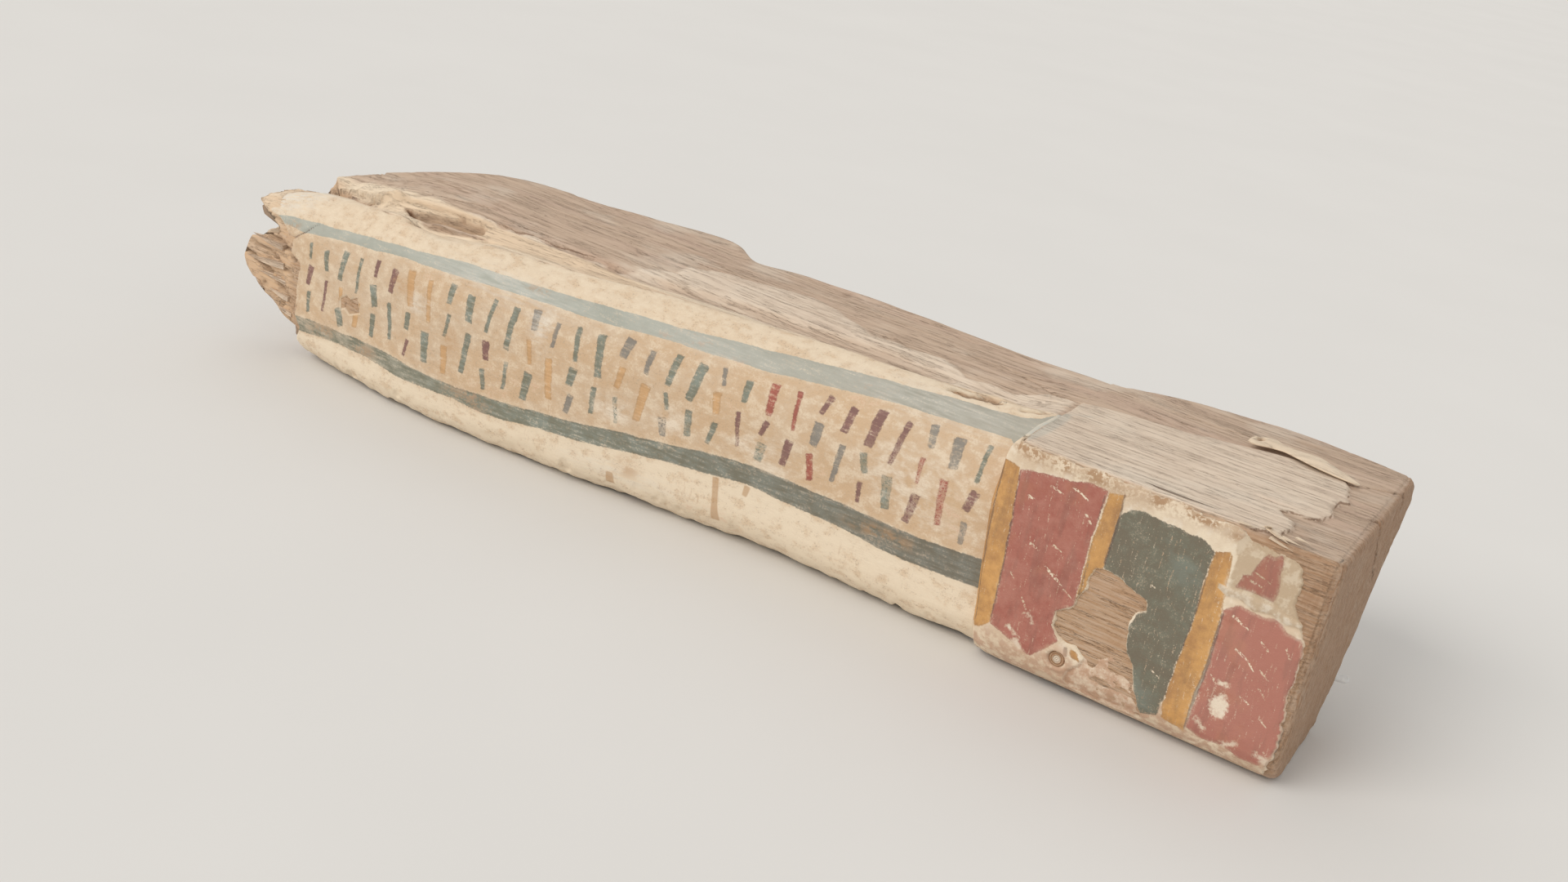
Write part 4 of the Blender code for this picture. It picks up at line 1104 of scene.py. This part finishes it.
woodColours = {
    "deep": rgb(0.19, 0.105, 0.06), "brown": rgb(0.385, 0.225, 0.13), "dark": rgb(0.47, 0.335, 0.24),
    "mid": rgb(0.545, 0.405, 0.30),
    "light": rgb(0.64, 0.505, 0.385), "cream": rgb(0.84, 0.70, 0.53), "pink": rgb(0.585, 0.42, 0.325),
    "fresh": rgb(0.475, 0.30, 0.175),
    "orange": rgb(0.72, 0.49, 0.30), "dust": rgb(0.75, 0.66, 0.55), "tint": rgb(0.45, 0.475, 0.43),
    "sheet": rgb(0.78, 0.655, 0.525),
}


def woodMaterial(name="dry_bare_wood", pale=0.0):
    material, shader, at = newMaterial(name, 0.82)
    c = woodColours
    streaks = at.noise((0.018, 0.50, 0.34), 5.0, 0.66)
    lines = at.noise((0.045, 1.5, 0.9), 4.0, 0.7)
    bands = at.noise((0.006, 0.07, 0.05), 3.0, 0.5)
    cloud = at.noise((0.018, 0.03, 0.03), 3.0, 0.6)
    fine = at.noise((0.9, 1.6, 1.6), 2.0, 0.6)
    sawn = at.noise((0.30, 1.1, 0.10), 4.0, 0.66)
    wavy = at.noise((0.06, 0.30, 0.75), 4.0, 0.66)
    sawnMask, torn, covered = at.layer("sawn"), at.layer("torn"), at.layer("covered")
    grain = (streaks * 0.45 + lines * 0.55) * (1 - sawnMask) + sawn * sawnMask
    grain = grain * (1 - covered) + wavy * covered
    base = at.mix(c["dark"], c["mid"], grain.soft(0.34, 0.50))
    base = at.mix(base, c["light"], grain.soft(0.47, 0.66) * 0.8)
    base = at.mix(base, c["pink"], bands.soft(0.45, 0.70) * 0.5)
    sheet = cloud.soft(0.35, 0.6) * 0.25 + grain.soft(0.38, 0.56) * 0.3 + 0.40
    base = at.mix(base, c["sheet"], at.layer("pale") * sheet)
    base = at.mix(base, c["dust"], cloud.soft(0.50, 0.70) * 0.4)
    near = at.layer("near") * (fine * 0.3 + cloud * 0.4 + lines * 0.3).soft(0.34, 0.46)
    for colour, amount in (("cream", near * 0.95 + pale * 0.75),
                           ("orange", near * bands.soft(0.44, 0.60) * 0.4),
                           ("fresh", covered * (grain.soft(0.60, 0.36) * 0.45 + 0.50)),
                           ("brown", covered * wavy.soft(0.48, 0.40) * fine.soft(0.40, 0.55) * 0.55)):
        base = at.mix(base, c[colour], amount)
    height = at.node("ShaderNodeSeparateXYZ", None, {0: at}, 2)
    curly = (height * 2500.0 + wavy * 9.0 + cloud * 14.0).sine()
    margin = sawnMask * covered
    base = at.mix(base, c["deep"], margin * curly.soft(0.25, 0.95) * (0.12 + fine * 0.22))
    base = at.mix(base, c["light"], margin * curly.soft(-0.1, -0.9) * 0.32)
    torn = torn * (1 - near * 0.9)
    for colour, amount in (("orange", torn * (0.50 + streaks.soft(0.35, 0.6) * 0.3)),
                           ("light", torn * lines.soft(0.48, 0.62) * 0.5),
                           ("brown", sawnMask * (sawn.soft(0.54, 0.40) * 0.42 + 0.52)),
                           ("tint", (at.layer("tint") - layerShift).soft(-1.8, 1.8) * 0.42)):
        base = at.mix(base, c[colour], amount)
    hair = (lines - 0.5).size().soft(0.022, 0.0) * streaks.soft(0.56, 0.40)
    base = at.mix(base, c["brown"], hair * 0.30)
    checks = (at.noise((0.014, 0.16, 0.10), 4.0, 0.62) - 0.5).size().soft(0.008, 0.0)
    checks = checks * at.noise((0.03, 0.05, 0.05), 2.0, 0.5).soft(0.54, 0.62) * (1 - sawnMask) * (1 - pale)
    # the brown layer is bare wood and painted shade; where strongest it turns near black as shade
    for colour, amount in (("deep", checks * 0.42),
                           ("brown", at.layer("brown") * (0.35 + fine * 0.5)),
                           ("deep", at.layer("brown").soft(0.9, 1.9) * 0.7),
                           # darker with sunk depth, and painted shade in the gaps
                           ("deep", at.layer("grit").soft(1.6, 3.2) * 0.22 + at.layer("gap") * 0.6)):
        base = at.mix(base, c[colour], amount)
    # dark drawn lines: cracks, and the painted shadow under the sheet's edge
    drawn = (at.layer("line") - layerShift + (fine - 0.5) * 0.8).soft(-0.35, 0.25)
    base = at.mix(base, c["deep"], at.layer("crack") * 0.6 + drawn * 0.75)
    feed(shader, "Base Color", base)
    feed(shader, "Roughness", 0.74 + grain * 0.18)
    relief = streaks * 0.4 + lines * 0.45 + fine * 0.15 - hair * 0.3 - checks * 0.4 + curly * margin * 0.25
    feed(shader, "Normal", at.bump(relief, 0.0006))
    return material


paints = {
    "ground": rgb(0.64, 0.49, 0.345), "groundWarm": rgb(0.62, 0.435, 0.27), "cream": rgb(0.84, 0.72, 0.555),
    "chalk": rgb(0.86, 0.77, 0.645), "teal": rgb(0.18, 0.185, 0.135), "tealBlue": rgb(0.25, 0.29, 0.255),
    # the next line's pale blue-grey and white are colours of painted sheen
    "haze": rgb(0.50, 0.53, 0.49), "white": rgb(0.74, 0.74, 0.70),
    "ochre": rgb(0.60, 0.365, 0.18), "plum": rgb(0.225, 0.115, 0.105), "slate": rgb(0.255, 0.235, 0.205),
    "red": rgb(0.36, 0.10, 0.075), "redLight": rgb(0.44, 0.17, 0.13), "dark": rgb(0.14, 0.10, 0.08),
    "night": rgb(0.142, 0.122, 0.086), "nightBlue": rgb(0.155, 0.168, 0.127),
    "yellow": rgb(0.58, 0.31, 0.10),
    "yellowDark": rgb(0.43, 0.215, 0.075), "stain": rgb(0.47, 0.26, 0.115), "soot": rgb(0.36, 0.26, 0.18),
    "linen": rgb(0.62, 0.47, 0.315), "edge": rgb(0.44, 0.28, 0.165), "primer": rgb(0.53, 0.33, 0.22),
    "rust": rgb(0.60, 0.30, 0.16),
}


# paint where the layer is positive, thinned by wear
def pigment(at, base, colours, layer, ragged, wear, tone):
    frayed = layer.soft(2.6, 0.2) * (ragged * 0.5 + tone * 0.5).soft(0.50, 0.62) * 0.45
    cover = (layer + (ragged - 0.5) * 2.8).soft(-0.40, 0.45) * (1 - wear) * (1 - frayed)
    paint = at.mix(*colours, tone.soft(0.36, 0.64))
    paint = at.mix(paint, paints["dark"], layer.soft(1.2, 0.1) * 0.22)
    return at.mix(base, paint, cover * 0.94)


def lighter(colour, by):
    return rgb(*(min(channel * by, 1) for channel in colour[:3]))


def bodyMaterial():
    material, shader, at = newMaterial("painted_plaster_body", 0.7)
    c = paints
    cloud = at.noise((0.020, 0.035, 0.035), 4.0, 0.6)
    mottle = at.noise((0.11, 0.16, 0.16), 5.0, 0.62)
    speck = at.noise((0.9, 1.0, 1.0), 3.0, 0.6)
    ragged = at.noise((0.5, 0.6, 0.6), 4.0, 0.62)
    brush = at.noise((0.05, 0.5, 0.5), 3.0, 0.55)
    text, below, rub = at.layer("text"), at.layer("below"), at.layer("rub")
    base = at.mix(c["ground"], c["groundWarm"], cloud.soft(0.38, 0.62) * 0.75)
    base = at.mix(base, c["cream"], (1 - text) * 0.55 + below * 0.30)
    base = at.mix(base, c["cream"], (mottle * 0.6 + speck * 0.4).soft(0.46, 0.62) * 0.5)
    upright = at.noise((0.30, 0.9, 0.05), 4.0, 0.62)
    for colour, amount in (("stain", text * upright.soft(0.56, 0.74) * mottle.soft(0.40, 0.60) * 0.38),
                           ("stain", (1 - text) * upright.soft(0.58, 0.76) * cloud.soft(0.46, 0.60) * 0.42),
                           ("groundWarm", mottle.soft(0.50, 0.34) * 0.45),
                           ("soot", speck.soft(0.52, 0.70) * mottle.soft(0.60, 0.40) * 0.55),
                           ("groundWarm", text * at.layer("right").soft(0.4, 1.0) * mottle.soft(0.60, 0.44)
                            * 0.5)):
        base = at.mix(base, c[colour], amount)
    worn = rub * (speck * 0.5 + ragged * 0.5).soft(0.42, 0.52)
    thin = ((brush * 0.4 + speck * 0.3 + ragged * 0.3).soft(0.50, 0.64) * 0.55).over(worn)
    base = at.mix(base, c["chalk"], rub * mottle.soft(0.35, 0.6) * 0.7)
    scuff = rub * (1 - (brush - 0.5).size().soft(0.0, 0.03)) * mottle.soft(0.40, 0.55)
    base = at.mix(base, c["edge"], scuff * 0.5)
    tone = brush * 0.5 + mottle * 0.5
    blueGreen = (c["teal"], c["tealBlue"])
    for name in ("ochre", "teal", "bars", "slate", "red", "plum"):
        pair = blueGreen if name in ("teal", "bars") else (lighter(c[name], 0.9), lighter(c[name], 1.15))
        base = pigment(at, base, pair, at.layer(name), ragged, thin, tone)
    upper = (at.layer("upper") + (ragged - 0.5) * 1.5).soft(-0.25, 0.30) * (1 - thin * 0.8)
    # the upper line is painted lighter towards a pale blue-grey: painted sheen where it turns up to the
    # light
    upperTone = at.mix(c["tealBlue"], c["haze"], (cloud.soft(0.30, 0.60) * 0.35 + tone * 0.5))
    base = at.mix(base, upperTone, upper * 0.85)
    lower = (at.layer("teal") + (ragged - 0.5)).soft(-0.2, 0.4)
    for colour, amount in (("dark", lower * at.layer("right").soft(0.35, 1.0) * 0.42),
                           ("ground", lower * at.layer("right").soft(0.45, 0.05) * tone.soft(0.38, 0.58)
                            * 0.5),
                           ("soot", upper * at.layer("right").soft(0.5, 1.0) * 0.28),
                           ("edge", at.layer("lineWear") * (mottle * 0.5 + ragged * 0.5).soft(0.44, 0.54)
                            * 0.6),
                           # painted sheen: white spots laid on the plaster
                           ("white", at.layer("haze") * brush.soft(0.30, 0.65) * 0.42),
                           ("chalk", (speck * 0.6 + brush * 0.4).soft(0.60, 0.70) * 0.25),
                           ("stain", at.layer("drip").soft(-0.5, 0.6) * 0.6),
                           ("stain", at.layer("stain") * mottle.soft(0.42, 0.58) * 0.55),
                           ("rust", cloud.soft(0.60, 0.70) * mottle.soft(0.50, 0.62) * 0.28),
                           ("dark", at.layer("line").soft(-0.30, 0.20) * 0.85),
                           ("cream", at.layer("rim").soft(1.4, 0.2) * 0.5),
                           ("edge", at.layer("rim").soft(0.2, -0.8) * 0.8),
                           # painted shade where the skin sinks into hollows and under the wood
                           ("dark", at.layer("whole").soft(-0.2, -1.4) * 0.5)):
        base = at.mix(base, c[colour], amount)
    feed(shader, "Base Color", base)
    feed(shader, "Roughness", 0.60 + mottle * 0.25)
    relief = mottle * 0.5 + speck * 0.30 + brush * 0.35
    feed(shader, "Normal", at.bump(relief, 0.0006))
    return material


def blockMaterial():
    material, shader, at = newMaterial("painted_plaster_block", 0.7)
    c = paints
    cloud = at.noise((0.03, 0.03, 0.03), 4.0, 0.6)
    mottle = at.noise((0.16, 0.16, 0.16), 5.0, 0.65)
    speck = at.noise((1.1, 1.1, 1.1), 3.0, 0.6)
    ragged = at.noise((0.55, 0.55, 0.55), 4.0, 0.62)
    dryBrush = at.noise((0.9, 0.25, 0.10), 3.0, 0.6)
    base = at.mix(c["cream"], c["ground"], cloud.soft(0.35, 0.6) * 0.75)
    base = at.mix(base, c["chalk"], mottle.soft(0.52, 0.7) * 0.6)
    base = at.mix(base, c["primer"], at.layer("high").soft(-10.5, -12.0) * mottle.soft(0.40, 0.60) * 0.8)
    patchy = mottle * 0.5 + ragged * 0.5
    frayedTop = at.layer("fringe") * 0.8 + at.layer("high").soft(-1.4, -0.3) * 0.55
    base = at.mix(base, c["edge"], frayedTop * patchy.soft(0.42, 0.54))
    linen = (at.layer("linen") + (ragged - 0.5) * 2).soft(-0.6, 0.8)
    for colour, amount in (("linen", linen * 0.85),
                           ("cream", linen * mottle.soft(0.46, 0.60) * 0.65),
                           ("chalk", at.layer("band").soft(-0.6, 1.2) * mottle.soft(0.36, 0.60) * 0.6)):
        base = at.mix(base, c[colour], amount)
    scraped = (speck * 0.4 + ragged * 0.6).soft(0.44, 0.54)
    thin = (dryBrush * 0.6 + speck * 0.4).soft(0.58, 0.66) * 0.55
    thin = thin.over((at.layer("scratches") + (ragged - 0.5) * 1.2).soft(-0.25, 0.25) * scraped)
    thin = thin.over((at.layer("chalk") + (ragged - 0.5) * 8).soft(-1.2, 1.4) * mottle.soft(0.30, 0.52)
                     * 0.9)
    thin = thin.over(at.layer("band").soft(-0.9, 0.1))
    near = (at.layer("rim") + (ragged - 0.5) * 3).soft(1.1, 0.1)
    thin = thin.over(near * 0.7)
    tone = mottle * 0.6 + cloud * 0.4 + at.layer("endward") * 0.16
    pairs = (("yellow", (c["yellowDark"], lighter(c["yellow"], 1.1))), ("red", (c["red"], c["redLight"])),
             ("night", (c["night"], c["nightBlue"])))
    for name, pair in pairs:
        base = pigment(at, base, pair, at.layer(name), ragged, thin, tone)
    whole = 1 - thin
    nightFace = at.layer("night").soft(0.2, 1.4)
    faded = nightFace * (mottle * 0.5 + speck * 0.5).soft(0.54, 0.66) * whole
    base = at.mix(base, c["ground"], faded * 0.35)
    base = at.mix(base, c["tealBlue"], nightFace * cloud.soft(0.50, 0.64) * whole * 0.35)
    streaky = at.noise((0.16, 0.3, 0.035), 4.0, 0.6).soft(0.48, 0.66)
    panels = at.layer("red").over(at.layer("yellow")).soft(0.2, 1.4) * whole
    base = at.mix(base, c["dark"], panels * streaky * 0.20)
    base = at.mix(base, c["rust"], at.layer("red").soft(0.2, 1.6) * whole * cloud.soft(0.46, 0.34) * 0.16)
    rusty = nightFace * (ragged * 0.5 + dryBrush * 0.5).soft(0.58, 0.66)
    base = at.mix(base, c["edge"], rusty * 0.5)
    # where the block's side runs into the body it takes the upper line's pale blue-grey, painted sheen
    # included
    base = at.mix(base, c["haze"], at.layer("seam") * (0.45 + mottle.soft(0.40, 0.60) * 0.3))
    drawn = (at.layer("lines") + (ragged - 0.5) * 1.2).soft(-0.35, 0.35) * whole
    base = at.mix(base, c["dark"], drawn * 0.62)
    base = at.mix(base, c["chalk"], at.layer("chalk").soft(-1.0, 1.5) * thin * 0.5)
    primer = at.layer("primer").soft(0.15, 0.75)
    for colour, amount in (("primer", primer * 0.9),
                           ("chalk", primer * patchy.soft(0.50, 0.62) * 0.4),
                           ("edge", primer * patchy.soft(0.46, 0.38) * 0.4),
                           ("cream", at.layer("rim").soft(0.7, 0.1) * mottle.soft(0.42, 0.60) * 0.45)):
        base = at.mix(base, c[colour], amount)
    # dark at the plaster's broken edges: the dark bare edge and painted shade on its wall
    edgeDarkAndShade = at.layer("rim").soft(0.15, -0.6) * (1 - at.layer("primer").soft(0.1, 0.5))
    base = at.mix(base, c["dark"], edgeDarkAndShade * 0.7)
    base = at.mix(base, c["primer"], at.layer("socket").soft(3.0, 1.6) * mottle.soft(0.38, 0.55) * 0.6)
    feed(shader, "Roughness", 0.62 + mottle * 0.22)
    threads = at.stretched((10500.0, 10500.0, 10500.0))  # about 0.6 mm from thread to thread
    split = at.node("ShaderNodeSeparateXYZ", None, {0: threads}, 0)
    weave = split.sine() * Sock(at.tree, split.link.node.outputs[2]).sine() * linen
    base = at.mix(base, c["edge"], weave.soft(0.1, 0.9) * 0.25)
    feed(shader, "Base Color", base)
    relief = mottle * 0.4 + speck * 0.3 + weave * 0.12
    feed(shader, "Normal", at.bump(relief, 0.0007))
    return material


def dowelMaterial():  # brown ring, crumbly cream middle
    material, shader, at = newMaterial("dowel_end_grain", 0.8)
    centre = tuple(corner + np.array([block["dowel"][0], 4.0, block["dowel"][1]]) / 1000)
    flat = at.stretched((1.0, 0.0, 1.0))
    away = at.node("ShaderNodeVectorMath", {"operation": "DISTANCE"},
                   {0: flat, 1: (centre[0], 0.0, centre[2])}, out=1)
    rough = at.noise((0.5, 0.5, 0.5), 4.0, 0.6)
    rings = ((away * 5200.0) + rough * 2.0).sine()
    base = at.mix(rgb(0.40, 0.22, 0.12), rgb(0.62, 0.45, 0.30), rings.soft(-0.6, 0.9) * 0.6)
    base = at.mix(base, rgb(0.80, 0.68, 0.54), (away * 1000.0 + rough * 1.6).soft(3.6, 2.4) * 0.9)
    feed(shader, "Base Color", base)
    feed(shader, "Roughness", 0.7 + rough * 0.2)
    feed(shader, "Normal", at.bump(rings * 0.3 + rough, 0.0008))
    return material


def pegMaterial():
    material, shader, at = newMaterial("white_peg_plastic", 0.35)
    haze = at.noise((0.25, 0.25, 0.25), 3.0, 0.5)
    feed(shader, "Base Color", at.mix(rgb(0.78, 0.78, 0.77), rgb(0.88, 0.88, 0.87), haze.soft(0.35, 0.65)))
    feed(shader, "Roughness", 0.30 + haze * 0.15)
    feed(shader, "Normal", at.bump(haze, 0.0001))
    return material


# Each piece gets its material and its body
for nodeName, material in (("dowel", dowelMaterial()), ("support_peg", pegMaterial())):
    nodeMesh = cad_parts[nodeName].data
    nodeMesh.materials.clear()
    nodeMesh.materials.append(material)
paleWood = woodMaterial("pale_loose_wood", 1.0)
finishPiece(woodCurl, "painted_plaster_wood", paleWood)
finishPiece(edgeChips, "painted_plaster_wood", paleWood)
finishPiece(endSplinters, "painted_plaster_wood", woodMaterial("splinter_wood", 0.35))
finishPiece(timberWood, "painted_plaster_wood", woodMaterial(), "coffin_timber")
finishPiece(bodyPlaster, "painted_plaster_wood", bodyMaterial(), "coffin_timber")
finishPiece(blockPlaster, "painted_plaster_wood", blockMaterial(), "coffin_timber")
print("materials")


# Camera, floor and light
view = {  # the camera: its place from the block's corner in mm, angles in degrees, lens on a 36 mm sensor
    "place": (278.1, -780.3, 311.9), "azimuth": 28.173, "elevation": 22.374, "roll": 10.544, "lens": 37.5,
}
studio = {
    "floor": 60.0, "floorDrop": 0.0004, "sky": rgb(1.0, 0.975, 0.94), "skyStrength": 0.60,
    # suns: name, where the light comes from, spread in degrees, strength, colour
    "suns": (("key", (-0.42, -0.80, 0.72), 38, 1.45, (1.0, 0.97, 0.93)),
             ("fill", (-0.5, 0.6, 0.9), 50, 0.30, (0.96, 0.98, 1.0))),
}


def setCamera():
    a, e, t = (math.radians(view[key]) for key in ("azimuth", "elevation", "roll"))
    back = Vector((math.sin(a) * math.cos(e), -math.cos(a) * math.cos(e), math.sin(e)))
    level = Vector((math.cos(a), math.sin(a), 0))
    upward = back.cross(level)
    right = level * math.cos(t) + upward * math.sin(t)
    up = -level * math.sin(t) + upward * math.cos(t)
    lens = bpy.data.cameras.new("camera")
    lens.lens = view["lens"]
    lens.sensor_width = 36.0
    lens.clip_start, lens.clip_end = 0.01, 100.0
    camera = bpy.data.objects.new("camera", lens)
    bpy.context.collection.objects.link(camera)
    turn = camera.matrix_world.copy()
    for row in range(3):
        turn[row][0], turn[row][1], turn[row][2] = right[row], up[row], back[row]
        turn[row][3] = corner[row] + view["place"][row] / 1000
    camera.matrix_world = turn
    bpy.context.scene.camera = camera


def addSun(name, towards, spread, strength, colour):
    lamp = bpy.data.lights.new(name, "SUN")
    lamp.angle, lamp.energy, lamp.color = math.radians(spread), strength, colour
    thing = bpy.data.objects.new(name, lamp)
    bpy.context.collection.objects.link(thing)
    thing.rotation_euler = Vector(towards).to_track_quat("Z", "Y").to_euler()


def setStage():
    bpy.ops.object.select_all(action="DESELECT")
    bpy.ops.mesh.primitive_plane_add(size=studio["floor"], location=(0, 0, -studio["floorDrop"]))
    floor = bpy.context.active_object
    floor.name = "floor"
    material, shader, at = newMaterial("pale_floor", 0.9)
    feed(shader, "Base Color", at.mix(rgb(0.74, 0.73, 0.71), rgb(0.78, 0.77, 0.75),
                                      at.noise((0.004, 0.004, 0.004))))
    floor.data.materials.append(material)
    world = bpy.data.worlds.new("studio")
    bpy.context.scene.world = world
    world.use_nodes = True
    sky = world.node_tree.nodes["Background"]
    sky.inputs["Color"].default_value = studio["sky"]
    sky.inputs["Strength"].default_value = studio["skyStrength"]
    for sun in studio["suns"]:
        addSun(*sun)
    bpy.context.scene.view_settings.view_transform = "Standard"


setCamera()
setStage()
print("stage")
